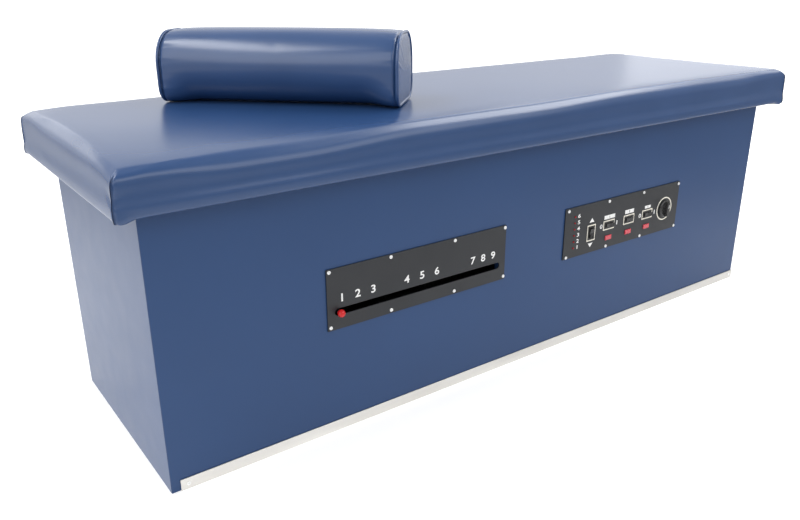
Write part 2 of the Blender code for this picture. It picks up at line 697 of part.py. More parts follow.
def switch_body(name, column, row, width, height):
    """A switch housing: a flange on the plate, a stem through it, and a well for the moving part."""
    stem_width = width - 2 * SWITCH_RIM
    stem_height = height - 2 * SWITCH_RIM
    well_width = stem_width - 2 * SWITCH_WALL
    well_height = stem_height - 2 * SWITCH_WALL
    front = FIT_GAP + SWITCH_FLANGE
    back = -PLATE_THICK - SWITCH_DEPTH
    rings = [rectangle(stem_width, stem_height, back),
             rectangle(stem_width, stem_height, FIT_GAP),
             rectangle(width, height, FIT_GAP),
             rectangle(width - 2 * SWITCH_CHAMFER, height - 2 * SWITCH_CHAMFER, front),
             rectangle(well_width, well_height, front),
             rectangle(well_width, well_height, front - SWITCH_WELL)]
    loft_piece(name, rings, SWITCH_BLACK, control_place(column, row), FACING_FRONT)
    square_hole(column, row, stem_width, stem_height)
    return well_width, well_height


def rocker(name, column, row, well, upright, tilt):
    """A dished rocker on its pivot, in the middle of the housing's well."""
    along, across = (well[1], well[0]) if upright else (well[0], well[1])
    half = along / 2 - TRAVEL_GAP
    foot = half * math.sin(ROCKER_TILT) + ROCKER_FLOOR_GAP
    depth = SWITCH_WELL - foot - SWITCH_FLANGE
    profile = [(-half, ROCKER_RISE), (0, ROCKER_DIP), (half, ROCKER_RISE),
               (half - ROCKER_TAPER, -depth * 0.4), (0, -depth * 0.7), (ROCKER_TAPER - half, -depth * 0.4)]
    turned_profile = [(u * math.cos(tilt) - w * math.sin(tilt), u * math.sin(tilt) + w * math.cos(tilt))
                      for u, w in profile]
    sides = (-(across / 2 - FIT_GAP), across / 2 - FIT_GAP)
    if upright:
        rings = [[(s, u, w) for u, w in turned_profile] for s in sides]
    else:
        rings = [[(u, s, w) for u, w in turned_profile] for s in sides]
    loft_piece(name, rings, SWITCH_BLACK, control_place(column, row), FACING_FRONT)


lift_well = switch_body("lift_switch_body", LIFT_SWITCH_COLUMN, LIFT_SWITCH_ROW,
                        LIFT_SWITCH_WIDTH, SWITCH_LENGTH)
rocker("lift_switch_rocker", LIFT_SWITCH_COLUMN, LIFT_SWITCH_ROW, lift_well, True, 0)
mode_well = switch_body("mode_switch_body", MODE_SWITCH_COLUMN, SWITCH_ROW, SWITCH_LENGTH, SWITCH_WIDTH)
rocker("mode_switch_rocker", MODE_SWITCH_COLUMN, SWITCH_ROW, mode_well, False, ROCKER_TILT)
start_well = switch_body("start_button_body", START_BUTTON_COLUMN, SWITCH_ROW, SWITCH_LENGTH, SWITCH_WIDTH)
aux_well = switch_body("aux_switch_body", AUX_SWITCH_COLUMN, SWITCH_ROW, SWITCH_LENGTH, SWITCH_WIDTH)
rocker("aux_switch_rocker", AUX_SWITCH_COLUMN, SWITCH_ROW, aux_well, False, ROCKER_TILT)

# The start button is a flat cap that slides into its housing.
cap_width = start_well[0] - 2 * FIT_GAP
cap_height = start_well[1] - 2 * FIT_GAP
cap_front = FIT_GAP + SWITCH_FLANGE + BUTTON_RISE
loft_piece("start_button",
           [rectangle(cap_width, cap_height, cap_front - 0.55 * SWITCH_WELL),
            rectangle(cap_width, cap_height, cap_front - BUTTON_CHAMFER),
            rectangle(cap_width - 2 * BUTTON_CHAMFER, cap_height - 2 * BUTTON_CHAMFER, cap_front)],
           SWITCH_BLACK, control_place(START_BUTTON_COLUMN, SWITCH_ROW), FACING_FRONT)

# Lamps

# A red window lamp sits under each of the three middle controls.
lamp_stem_length = LAMP_LENGTH - 2 * LAMP_RIM
lamp_stem_height = LAMP_WIDTH - 2 * LAMP_RIM
for number, column in enumerate((MODE_SWITCH_COLUMN, START_BUTTON_COLUMN, AUX_SWITCH_COLUMN), start=1):
    loft_piece("indicator_lamp_%d" % number,
               [rectangle(lamp_stem_length, lamp_stem_height, -PLATE_THICK - LAMP_STEM),
                rectangle(lamp_stem_length, lamp_stem_height, FIT_GAP),
                rectangle(LAMP_LENGTH, LAMP_WIDTH, FIT_GAP),
                rectangle(LAMP_LENGTH, LAMP_WIDTH, LAMP_RISE * 0.6),
                rectangle(LAMP_LENGTH - 2 * LAMP_CHAMFER, LAMP_WIDTH - 2 * LAMP_CHAMFER, LAMP_RISE)],
               LENS_RED, control_place(column, LAMP_ROW), FACING_FRONT)
    square_hole(column, LAMP_ROW, lamp_stem_length, lamp_stem_height)

# A column of small lamps shows the roller height. Each has a collar behind the plate.
led_seat = -PLATE_THICK - FIT_GAP
LED_PROFILE = [(LED_RADIUS + LED_COLLAR, led_seat - LED_BODY),
               (LED_RADIUS + LED_COLLAR, led_seat),
               (LED_RADIUS, led_seat),
               (LED_RADIUS, LED_PROUD),
               (LED_RADIUS * 0.82, LED_PROUD + LED_RADIUS * 0.57),
               (LED_RADIUS * 0.40, LED_PROUD + LED_RADIUS * 0.92)]
for number in range(1, LED_COUNT + 1):
    led_row = LED_ROW_SPAN * ((number - 1) / (LED_COUNT - 1) - 0.5)
    loft_piece("level_led_%d" % number, turned(LED_PROFILE, SMALL_STEPS), LENS_RED,
               control_place(LED_COLUMN, led_row), FACING_FRONT, smooth=True)
    round_hole(LED_COLUMN, led_row, LED_RADIUS + FIT_GAP, SMALL_STEPS)

# Timer

# The timer hangs behind the plate. Its shaft comes through and carries a round knob with a bar grip.
shaft_end = KNOB_SKIRT + KNOB_GRIP_RISE * 0.5
timer_front = -PLATE_THICK - FIT_GAP
timer_rings = [rectangle(TIMER_BODY, TIMER_BODY, timer_front - TIMER_BODY_DEPTH),
               rectangle(TIMER_BODY, TIMER_BODY, timer_front)]
timer_body = loft_piece("timer_body", timer_rings, SWITCH_BLACK, control_place(TIMER_COLUMN, TIMER_ROW),
                        FACING_FRONT)
shaft = bmesh.new()
shaft_profile = [(TIMER_SHAFT_RADIUS, timer_front - TIMER_BODY_DEPTH / 2), (TIMER_SHAFT_RADIUS, shaft_end)]
add_loft(shaft, turned(shaft_profile, SMALL_STEPS))
shape_with(timer_body, shaft, "UNION")
round_hole(TIMER_COLUMN, TIMER_ROW, TIMER_SHAFT_RADIUS + FIT_GAP, SMALL_STEPS)

KNOB_LOW = 2 * FIT_GAP
knob_profile = [(KNOB_RADIUS, KNOB_LOW),
                (KNOB_RADIUS, KNOB_LOW + KNOB_SKIRT * 0.45),
                (KNOB_RADIUS * 0.90, KNOB_LOW + KNOB_SKIRT * 0.85),
                (KNOB_RADIUS * 0.74, KNOB_LOW + KNOB_SKIRT)]
timer_knob = loft_piece("timer_knob", turned(knob_profile, FINE_STEPS), SWITCH_BLACK,
                        control_place(TIMER_COLUMN, TIMER_ROW), FACING_FRONT)
grip = bmesh.new()
grip_half = KNOB_RADIUS * 0.90
grip_side = KNOB_GRIP_WIDTH / 2
grip_rings = []
for level, shrink in ((KNOB_SKIRT * 0.5, 1.0), (KNOB_GRIP_RISE - KNOB_EDGE, 0.94), (KNOB_GRIP_RISE, 0.82)):
    outline = rounded_outline(grip_side * shrink, grip_half * shrink, grip_side * shrink * 0.85, 3)
    grip_rings.append([(x, y, KNOB_LOW + level) for x, y in outline])
add_loft(grip, grip_rings)
shape_with(timer_knob, grip, "UNION")
knob_bore = bmesh.new()
bore_radius = TIMER_SHAFT_RADIUS + RUN_GAP
add_loft(knob_bore, turned([(bore_radius, -KNOB_SKIRT), (bore_radius, shaft_end + FIT_GAP)], SMALL_STEPS))
shape_with(timer_knob, knob_bore, "DIFFERENCE")

shape_with(control_plate, control_holes, "DIFFERENCE")

# Power inlet

# A plain three-pin inlet in the back wall, with its pins in a recess.
inlet_x = FOOT_X - INLET_FROM_FOOT
inlet_front = FIT_GAP + INLET_FLANGE_THICK
socket_size = [side - 2 * INLET_WALL for side in INLET_BODY]
inlet_rings = [rectangle(*INLET_BODY, -INLET_DEPTH), rectangle(*INLET_BODY, FIT_GAP),
               rectangle(*INLET_FLANGE, FIT_GAP), rectangle(*INLET_FLANGE, inlet_front),
               rectangle(*socket_size, inlet_front), rectangle(*socket_size, -INLET_RECESS)]
power_inlet = loft_piece("power_inlet", inlet_rings, SWITCH_BLACK,
                         (inlet_x, BACK_Y, INLET_HEIGHT), FACING_BACK)
pins = bmesh.new()
pin_root = -INLET_RECESS - 2 * INLET_WALL
for column in (-1, 0, 1):
    pin_z = INLET_PIN_STEP if column == 0 else -INLET_PIN_STEP
    add_box(pins, (*INLET_PIN, -INLET_PIN_BACK - pin_root),
            (column * INLET_PIN_SPREAD, pin_z, (pin_root - INLET_PIN_BACK) / 2))
shape_with(power_inlet, pins, "UNION")
inlet_hole = bmesh.new()
add_box(inlet_hole, (INLET_BODY[0] + 2 * FIT_GAP, 3 * BOARD, INLET_BODY[1] + 2 * FIT_GAP),
        (-inlet_x, BOARD / 2, INLET_HEIGHT))
shape_with(back_panel, inlet_hole, "DIFFERENCE")

# Rails

# Two round rails run the length of the roller channel, held by an angle plate at each end.
support_head_x = CARRIAGE_X - CARRIAGE_LENGTH / 2 - CARRIAGE_STOP
support_foot_x = CARRIAGE_END_X + CARRIAGE_LENGTH / 2 + CARRIAGE_STOP
support_high = RAIL_Z + SUPPORT_OVER_RAIL
support_half = CABINET_WIDTH / 2 - BOARD - SUPPORT_MARGIN
for name, inner_x, side in (("rail_support_head", support_head_x, -1),
                            ("rail_support_foot", support_foot_x, 1)):
    outline = [(0, 0), (side * SUPPORT_FOOT, 0), (side * SUPPORT_FOOT, SUPPORT_THICK),
               (side * SUPPORT_THICK, SUPPORT_THICK), (side * SUPPORT_THICK, support_high - BASE_HIGH),
               (0, support_high - BASE_HIGH)]
    support = prism_piece(name, outline, -support_half, support_half, ZINC,
                          (inner_x, 0, BASE_HIGH), FACING_FRONT)
    rail_holes = bmesh.new()
    for rail_side in (-1, 1):
        add_rod(rail_holes, RAIL_RADIUS + RUN_GAP, 4 * SUPPORT_THICK,
                (0, RAIL_Z - BASE_HIGH, rail_side * RAIL_SPREAD / 2), ROUND_STEPS, AXIS_X)
    shape_with(support, rail_holes, "DIFFERENCE")
rail_length = support_foot_x - support_head_x + 2 * SUPPORT_THICK
rail_middle = (support_foot_x + support_head_x) / 2
for name, side in (("rail_front", -1), ("rail_back", 1)):
    rod_piece(name, RAIL_RADIUS, rail_length, STEEL, (rail_middle, side * RAIL_SPREAD / 2, RAIL_Z), ALONG_X)

# Carriage

carriage_half = RAIL_SPREAD / 2 + CARRIAGE_SIDE
box_piece("carriage_plate",
          (CARRIAGE_X - CARRIAGE_LENGTH / 2, -carriage_half, CARRIAGE_LOW),
          (CARRIAGE_X + CARRIAGE_LENGTH / 2, carriage_half, CARRIAGE_HIGH),
          ZINC, edge=CARRIAGE_EDGE)
for name, side in (("slide_block_front", -1), ("slide_block_back", 1)):
    rail_y = side * RAIL_SPREAD / 2
    block = box_piece(name,
                      (CARRIAGE_X - BLOCK_LENGTH / 2, rail_y - BLOCK_SIZE / 2, BLOCK_HIGH - BLOCK_SIZE),
                      (CARRIAGE_X + BLOCK_LENGTH / 2, rail_y + BLOCK_SIZE / 2, BLOCK_HIGH),
                      CASTING)
    bore = bmesh.new()
    add_rod(bore, RAIL_RADIUS + RUN_GAP, 2 * BLOCK_LENGTH, (0, 0, 0), ROUND_STEPS, AXIS_X)
    shape_with(block, bore, "DIFFERENCE")

# The pointer rod lies on the carriage plate and comes out through the slot with a red ball on its end.
rod_inner_y = -RAIL_SPREAD / 2 + BLOCK_SIZE / 2
ball_centre = POINTER_RADIUS + POINTER_STANDOFF
rod_outer_y = PLATE_FACE_Y - ball_centre - POINTER_SEAT
rod_piece("pointer_rod", ROD_RADIUS, rod_inner_y - rod_outer_y, STEEL,
          (CARRIAGE_X, (rod_inner_y + rod_outer_y) / 2, SLOT_Z), ALONG_Y, SMALL_STEPS)
ball_profile = [(ROD_RADIUS + RUN_GAP, ball_centre + POINTER_SEAT + FIT_GAP),
                (ROD_RADIUS + RUN_GAP, ball_centre - POINTER_RADIUS * 0.80)]
for degrees in (-52, -30, -5, 20, 42, 62, 78):
    a = math.radians(degrees)
    ball_profile.append((POINTER_RADIUS * math.cos(a), ball_centre + POINTER_RADIUS * math.sin(a)))
loft_piece("pointer_knob", turned(ball_profile, ROUND_STEPS), POINTER_RED,
           (CARRIAGE_X, PLATE_FACE_Y, SLOT_Z), FACING_FRONT, smooth=True)

# Lift

# The lift stands on the carriage: a base, a tube that guides its rod, and a motor beside it.
LIFT_LOW = CARRIAGE_HIGH + FIT_GAP
LIFT_TUBE_HIGH = YOKE_LOW - LIFT_ROD_SHOWN
lift_base_low = -LIFT_TUBE_RADIUS - LIFT_BASE_MARGIN
lift_base_high = LIFT_MOTOR_OFFSET + LIFT_MOTOR_RADIUS + LIFT_BASE_MARGIN
lift_actuator = box_piece("lift_actuator",
                          (CARRIAGE_X + lift_base_low, lift_base_low, LIFT_LOW),
                          (CARRIAGE_X - lift_base_low, lift_base_high, LIFT_LOW + LIFT_BASE),
                          CASTING)
lift_centre_y = (lift_base_low + lift_base_high) / 2
lift_centre_z = LIFT_LOW + LIFT_BASE / 2
columns = bmesh.new()
tube_low = LIFT_LOW + LIFT_BASE / 2
add_rod(columns, LIFT_TUBE_RADIUS, LIFT_TUBE_HIGH - tube_low,
        (0, -lift_centre_y, (LIFT_TUBE_HIGH + tube_low) / 2 - lift_centre_z), ROUND_STEPS)
add_rod(columns, LIFT_MOTOR_RADIUS, LIFT_MOTOR_LENGTH + LIFT_BASE / 2,
        (0, LIFT_MOTOR_OFFSET - lift_centre_y, (LIFT_MOTOR_LENGTH + LIFT_BASE / 2) / 2), ROUND_STEPS)
shape_with(lift_actuator, columns, "UNION")
lift_rod_low = LIFT_TUBE_HIGH - LIFT_STROKE - LIFT_ROD_HELD
bore_low = lift_rod_low - LIFT_BORE_END
bore_high = LIFT_TUBE_HIGH + LIFT_ROD_RADIUS
lift_bore = bmesh.new()
add_rod(lift_bore, LIFT_ROD_RADIUS + RUN_GAP, bore_high - bore_low,
        (0, -lift_centre_y, (bore_high + bore_low) / 2 - lift_centre_z), ROUND_STEPS)
shape_with(lift_actuator, lift_bore, "DIFFERENCE")
lift_rod_high = YOKE_LOW - FIT_GAP
rod_piece("lift_rod", LIFT_ROD_RADIUS, lift_rod_high - lift_rod_low, STEEL,
          (CARRIAGE_X, 0, (lift_rod_high + lift_rod_low) / 2), (0, 0, 0))
post_high = YOKE_HIGH + LIFT_STROKE + POST_PAST
for name, side in (("guide_post_head", -1), ("guide_post_foot", 1)):
    rod_piece(name, POST_RADIUS, post_high - LIFT_LOW, STEEL,
              (CARRIAGE_X + side * POST_SPREAD / 2, 0, (post_high + LIFT_LOW) / 2), (0, 0, 0))

# Roller head

# The yoke is a plate that slides on the two posts, with an ear at each side for the axle.
roller_yoke = box_piece("roller_yoke",
                        (CARRIAGE_X - YOKE_LENGTH / 2, -YOKE_OUTSIDE, YOKE_LOW),
                        (CARRIAGE_X + YOKE_LENGTH / 2, YOKE_OUTSIDE, YOKE_HIGH),
                        ZINC)
yoke_centre_z = (YOKE_LOW + YOKE_HIGH) / 2
ears = bmesh.new()
ear_low = YOKE_LOW + YOKE_PLATE / 2
ear_high = AXLE_Z + AXLE_RADIUS + YOKE_EAR_OVER_AXLE
for side in (-1, 1):
    add_box(ears, (YOKE_EAR_LENGTH, YOKE_EAR_THICK - RUN_GAP, ear_high - ear_low),
            (0, side * (YOKE_INSIDE + YOKE_EAR_THICK / 2), (ear_high + ear_low) / 2 - yoke_centre_z))
shape_with(roller_yoke, ears, "UNION")
yoke_holes = bmesh.new()
for side in (-1, 1):
    add_rod(yoke_holes, POST_RADIUS + RUN_GAP, 4 * YOKE_PLATE, (side * POST_SPREAD / 2, 0, 0), ROUND_STEPS)
add_rod(yoke_holes, AXLE_RADIUS + RUN_GAP, 3 * YOKE_OUTSIDE, (0, 0, AXLE_Z - yoke_centre_z), SMALL_STEPS,
        AXIS_Y)
shape_with(roller_yoke, yoke_holes, "DIFFERENCE")
rod_piece("roller_axle", AXLE_RADIUS, 2 * (YOKE_OUTSIDE + AXLE_PAST), STEEL,
          (CARRIAGE_X, 0, AXLE_Z), ALONG_Y, SMALL_STEPS)

# Two broad rubber rollers press on either side of the spine.
half_width = ROLLER_WIDTH / 2
roller_profile = [(AXLE_RADIUS + RUN_GAP, -half_width), (ROLLER_RADIUS - ROLLER_SHOULDER, -half_width)]
for degrees in (-55, -22):
    a = math.radians(degrees)
    roller_profile.append((ROLLER_RADIUS - ROLLER_SHOULDER + ROLLER_SHOULDER * math.cos(a),
                           -half_width + ROLLER_SHOULDER + ROLLER_SHOULDER * math.sin(a)))
roller_profile.append((ROLLER_RADIUS, 0))
roller_profile += [(radius, -height) for radius, height in reversed(roller_profile[:-1])]
for name, side in (("roller_front", -1), ("roller_back", 1)):
    loft_piece(name, turned(roller_profile, FINE_STEPS), ROLLER_RUBBER,
               (CARRIAGE_X, side * ROLLER_SPREAD / 2, AXLE_Z), ALONG_Y, joined=True, smooth=True)

# Belt drive

belt_top = BELT_AXIS_HEIGHT + BELT_OUTER
arm_half = DRIVE_ARM / 2
box_piece("drive_arm",
          (CARRIAGE_X - arm_half, -BELT_WIDTH / 2, belt_top + FIT_GAP),
          (CARRIAGE_X + arm_half, BELT_WIDTH / 2, CARRIAGE_LOW - FIT_GAP),
          ZINC)
clamp_high = BELT_AXIS_HEIGHT + BELT_INNER - FIT_GAP
box_piece("belt_clamp",
          (CARRIAGE_X - arm_half, -BELT_WIDTH / 2, clamp_high - CLAMP_THICK),
          (CARRIAGE_X + arm_half, BELT_WIDTH / 2, clamp_high),
          ZINC)


def belt_outline(radius):
    """The path of the belt round both pulleys, in local XY with the middle of the run at the origin."""
    half = (DRIVE_X - IDLER_X) / 2
    points = []
    for middle, start in ((half, -90), (-half, 90)):
        for i in range(SMALL_STEPS + 1):
            a = math.radians(start + 180 * i / SMALL_STEPS)
            points.append((middle + radius * math.cos(a), radius * math.sin(a)))
    return points


belt_half = BELT_WIDTH / 2
belt_section = ((BELT_INNER, -belt_half), (BELT_OUTER, -belt_half),
                (BELT_OUTER, belt_half), (BELT_INNER, belt_half))
belt_rings = [[(x, y, z) for x, y in belt_outline(radius)] for radius, z in belt_section]
loft_piece("drive_belt", belt_rings, BELT_RUBBER,
           ((DRIVE_X + IDLER_X) / 2, 0, BELT_AXIS_HEIGHT), FACING_FRONT, joined=True, smooth=True)

flange_radius = PULLEY_RADIUS + PULLEY_FLANGE
seat_half = PULLEY_HALF - PULLEY_RIM
wheel_profile = [(flange_radius, -PULLEY_HALF), (flange_radius, -seat_half), (PULLEY_RADIUS, -seat_half),
                 (PULLEY_RADIUS, seat_half), (flange_radius, seat_half), (flange_radius, PULLEY_HALF)]
gearbox_front = PULLEY_HALF + PULLEY_CLEAR
drive_profile = [(PULLEY_SHAFT, -gearbox_front - DRIVE_SHAFT_HELD), (PULLEY_SHAFT, -PULLEY_HALF)]
drive_profile += wheel_profile
loft_piece("drive_pulley", turned(drive_profile, 2 * SMALL_STEPS), STEEL,
           (DRIVE_X, 0, BELT_AXIS_HEIGHT), ALONG_Y, smooth=True)
idler_inside = PULLEY_HALF + IDLER_SIDE_GAP
idler_shaft = idler_inside + IDLER_EAR
idler_profile = [(PULLEY_SHAFT, -idler_shaft), (PULLEY_SHAFT, -PULLEY_HALF)] + wheel_profile
idler_profile += [(PULLEY_SHAFT, PULLEY_HALF), (PULLEY_SHAFT, idler_shaft)]
loft_piece("idler_pulley", turned(idler_profile, 2 * SMALL_STEPS), STEEL,
           (IDLER_X, 0, BELT_AXIS_HEIGHT), ALONG_Y, smooth=True)

# The idler turns between two ears of a folded bracket on the base board.
ear_top = BELT_AXIS_HEIGHT - BASE_HIGH + PULLEY_SHAFT + IDLER_OVER_SHAFT
bracket_outline = [(-idler_shaft, 0), (idler_shaft, 0), (idler_shaft, ear_top), (idler_inside, ear_top),
                   (idler_inside, IDLER_EAR), (-idler_inside, IDLER_EAR), (-idler_inside, ear_top),
                   (-idler_shaft, ear_top)]
idler_bracket = prism_piece("idler_bracket", bracket_outline, -IDLER_BRACKET / 2, IDLER_BRACKET / 2, ZINC,
                            (IDLER_X, 0, BASE_HIGH), (math.pi / 2, 0, math.pi / 2))
shaft_holes = bmesh.new()
add_rod(shaft_holes, PULLEY_SHAFT + RUN_GAP, 4 * idler_shaft, (0, BELT_AXIS_HEIGHT - BASE_HIGH, 0),
        2 * SMALL_STEPS, AXIS_X)
shape_with(idler_bracket, shaft_holes, "DIFFERENCE")

# A worm gearbox stands on the base board beside the belt, with its motor lying along the table.
gearbox_high = 2 * BELT_AXIS_HEIGHT - BASE_HIGH
gearbox = box_piece("gearbox",
                    (DRIVE_X - GEARBOX / 2, gearbox_front, BASE_HIGH),
                    (DRIVE_X + GEARBOX / 2, gearbox_front + GEARBOX_WIDTH, gearbox_high),
                    CASTING, edge=GEARBOX_EDGE)
gearbox_bore = bmesh.new()
add_rod(gearbox_bore, PULLEY_SHAFT + RUN_GAP, 2 * (DRIVE_SHAFT_HELD + DRIVE_BORE_END),
        (0, -GEARBOX_WIDTH / 2, 0), 2 * SMALL_STEPS, AXIS_Y)
shape_with(gearbox, gearbox_bore, "DIFFERENCE")
motor_front_x = DRIVE_X - GEARBOX / 2 - FIT_GAP
motor_profile = [(MOTOR_RADIUS * 0.55, -MOTOR_LENGTH),
                 (MOTOR_RADIUS * 0.92, MOTOR_CAP_EDGE - MOTOR_LENGTH),
                 (MOTOR_RADIUS * 0.92, MOTOR_CAP - MOTOR_LENGTH),
                 (MOTOR_RADIUS, MOTOR_CAP - MOTOR_LENGTH),
                 (MOTOR_RADIUS, -MOTOR_FLANGE),
                 (MOTOR_RADIUS * 1.1, -MOTOR_FLANGE),
                 (MOTOR_RADIUS * 1.1, 0)]
loft_piece("drive_motor", turned(motor_profile, 2 * SMALL_STEPS), MOTOR_BLACK,
           (motor_front_x, gearbox_front + GEARBOX_WIDTH / 2, BELT_AXIS_HEIGHT), ALONG_X, smooth=True)
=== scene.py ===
import math

import bmesh
import bpy
import numpy as np
from mathutils import Matrix, Vector, noise


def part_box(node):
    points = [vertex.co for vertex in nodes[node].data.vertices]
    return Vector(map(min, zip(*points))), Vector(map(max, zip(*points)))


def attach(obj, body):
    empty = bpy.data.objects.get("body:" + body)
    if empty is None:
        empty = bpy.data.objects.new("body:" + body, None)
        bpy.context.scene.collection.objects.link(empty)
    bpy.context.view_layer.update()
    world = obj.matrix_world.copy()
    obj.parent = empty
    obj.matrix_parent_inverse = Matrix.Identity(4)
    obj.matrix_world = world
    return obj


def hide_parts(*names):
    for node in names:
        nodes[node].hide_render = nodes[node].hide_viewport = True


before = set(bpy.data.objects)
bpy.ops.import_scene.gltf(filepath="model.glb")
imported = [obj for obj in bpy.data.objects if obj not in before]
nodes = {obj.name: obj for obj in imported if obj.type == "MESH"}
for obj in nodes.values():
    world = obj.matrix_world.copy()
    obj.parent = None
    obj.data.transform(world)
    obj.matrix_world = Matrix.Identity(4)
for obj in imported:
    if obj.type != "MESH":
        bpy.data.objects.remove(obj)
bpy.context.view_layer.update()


# The camera stands off the head end of the table, a little above its top, and looks along the front.
# Its place and lens are those at which the cabinet's edges fall where the photograph has them.
bpy.context.scene.view_settings.view_transform = "Standard"
lens = bpy.data.cameras.new("camera")
lens.lens = 34.30
lens.sensor_width = 36.0
camera = bpy.data.objects.new("camera", lens)
camera_spot = (-1.3318, -1.5531, 0.9621)
camera_heading = math.radians(-36.005)
camera_tilt = math.radians(69.336)
camera_lean = math.radians(-0.252)
camera.matrix_world = (
    Matrix.Translation(camera_spot)
    @ Matrix.Rotation(camera_heading, 4, "Z")
    @ Matrix.Rotation(camera_tilt, 4, "X")
    @ Matrix.Rotation(camera_lean, 4, "Z")
)
bpy.context.scene.collection.objects.link(camera)
bpy.context.scene.camera = camera


# The studio is a white paper floor under a white room, brighter behind the table than before it. The
# paper glows a little for the camera and for reflections, so that it is white and still takes shadow,
# and for reflections alone its colour is painted darker at the front right, a painted dark reflection.
paper_white = 0.82
toward_back = (-0.34, 0.94, 0.0)
toward_front_corner = (0.77, -0.64, 0.0)


def reach_along(tree, place, way):
    """How far the place lies along a way."""
    reach = tree.nodes.new("ShaderNodeVectorMath")
    reach.operation = "DOT_PRODUCT"
    reach.inputs[1].default_value = way
    tree.links.new(place, reach.inputs[0])
    return reach.outputs["Value"]


def level_between(tree, value, low, high):
    """A level that runs smoothly between two (value, level) ends, and stays there beyond them."""
    span = tree.nodes.new("ShaderNodeMapRange")
    span.interpolation_type = "SMOOTHSTEP"
    span.inputs["From Min"].default_value, span.inputs["To Min"].default_value = low
    span.inputs["From Max"].default_value, span.inputs["To Max"].default_value = high
    tree.links.new(value, span.inputs["Value"])
    return span.outputs["Result"]


def worked_out(tree, operation, first, second):
    """What an operation makes of two values."""
    working = tree.nodes.new("ShaderNodeMath")
    working.operation = operation
    tree.links.new(first, working.inputs[0])
    tree.links.new(second, working.inputs[1])
    return working.outputs["Value"]


bpy.ops.object.select_all(action="DESELECT")
bpy.ops.mesh.primitive_plane_add(size=80.0, location=(0, 0, 0))
floor = bpy.context.object
floor.name = "floor"
paper = bpy.data.materials.new("studio_paper")
paper.use_nodes = True
tree = paper.node_tree
matt = tree.nodes["Principled BSDF"]
matt.inputs["Roughness"].default_value = 0.9
matt.inputs["Specular IOR Level"].default_value = 0.1
ray = tree.nodes.new("ShaderNodeLightPath")
place = tree.nodes.new("ShaderNodeTexCoord").outputs["Object"]
depth = reach_along(tree, place, toward_back)
before = level_between(tree, depth, (-1.3, 0.06), (0.3, 0.55))
beyond = level_between(tree, depth, (1.2, 1.0), (3.0, 0.30))
near_table = worked_out(tree, "MULTIPLY", before, beyond)
mirrored = worked_out(tree, "MULTIPLY", near_table, ray.outputs["Is Glossy Ray"])
away = tree.nodes.new("ShaderNodeVectorMath")
away.operation = "LENGTH"
tree.links.new(place, away.inputs[0])
distant = level_between(tree, away.outputs["Value"], (0.9, 0.38), (2.6, 0.95))
seen = worked_out(tree, "MULTIPLY", distant, ray.outputs["Is Camera Ray"])
# Painted dark reflection: only glossy rays see the paper darker towards the front right.
front_corner_painted_dark = level_between(tree, reach_along(tree, place, toward_front_corner), (1.3, 0.0), (2.4, 0.44))
whiteness = tree.nodes.new("ShaderNodeMath")
whiteness.operation = "SUBTRACT"
whiteness.inputs[0].default_value = paper_white
painted_dark_reflection = worked_out(tree, "MULTIPLY", front_corner_painted_dark, ray.outputs["Is Glossy Ray"])
tree.links.new(painted_dark_reflection, whiteness.inputs[1])
tree.links.new(whiteness.outputs["Value"], matt.inputs["Base Color"])
glow = tree.nodes.new("ShaderNodeEmission")
tree.links.new(worked_out(tree, "MAXIMUM", seen, mirrored), glow.inputs["Strength"])
lit = tree.nodes.new("ShaderNodeAddShader")
tree.links.new(matt.outputs["BSDF"], lit.inputs[0])
tree.links.new(glow.outputs["Emission"], lit.inputs[1])
tree.links.new(lit.outputs["Shader"], tree.nodes["Material Output"].inputs["Surface"])
floor.data.materials.append(paper)

room = bpy.data.worlds.new("white_room")
bpy.context.scene.world = room
room.use_nodes = True
tree = room.node_tree
wall = tree.nodes["Background"]
wall.inputs["Color"].default_value = (1.0, 1.0, 1.0, 1)
ray = tree.nodes.new("ShaderNodeLightPath")
way = tree.nodes.new("ShaderNodeTexCoord").outputs["Generated"]
rise = tree.nodes.new("ShaderNodeSeparateXYZ")
tree.links.new(way, rise.inputs["Vector"])
walls = level_between(tree, reach_along(tree, way, toward_back), (-0.4, 0.52), (0.4, 1.12))
ceiling = level_between(tree, rise.outputs["Z"], (0.50, 1.0), (0.90, 0.60))
dimmed = worked_out(tree, "MULTIPLY", walls, ceiling)
brighter = worked_out(tree, "MAXIMUM", dimmed, ray.outputs["Is Camera Ray"])
tree.links.new(brighter, wall.inputs["Strength"])

for name, spot, aim, size, watts in (
    ("softbox_over_head", (-1.65, 0.42, 2.75), (-0.45, 0.1, 0.7), (1.4, 0.60), 21.0),
    ("softbox_over_middle", (0.9, 0.0, 2.75), (0.0, -0.2, 0.7), (1.4, 0.9), 4.0),
    ("softbox_over_foot", (1.9, -0.65, 2.8), (0.3, -0.3, 0.7), (1.2, 1.5), 35.0),
    ("softbox_beyond_foot", (4.0, -0.25, 2.7), (0.8, -0.33, 0.67), (1.4, 1.8), 14.0),
    ("softbox_front", (0.8, -3.0, 2.6), (0.0, 0.0, 0.5), (4.4, 1.8), 36.0),
    ("softbox_behind", (3.7, 1.65, 3.4), (0.0, -0.3, 0.67), (2.9, 2.0), 22.0),
    ("softbox_head", (-2.9, -1.1, 2.4), (-0.5, 0.0, 0.7), (2.6, 2.0), 29.0),
    ("softbox_behind_head", (-1.35, 2.9, 1.45), (-1.0, 0.0, 0.68), (1.6, 0.7), 3.2),
    ("softbox_behind_foot", (4.6, 1.7, 1.1), (0.7, 0.0, 0.68), (2.2, 1.4), 7.0),
):
    lamp = bpy.data.lights.new(name, "AREA")
    lamp.shape = "RECTANGLE"
    lamp.size, lamp.size_y = size
    lamp.energy = watts
    softbox = bpy.data.objects.new(name, lamp)
    softbox.location = spot
    softbox.visible_camera = False
    facing = (Vector(aim) - Vector(spot)).to_track_quat("-Z", "Y")
    softbox.rotation_euler = facing.to_matrix().to_euler()
    bpy.context.scene.collection.objects.link(softbox)


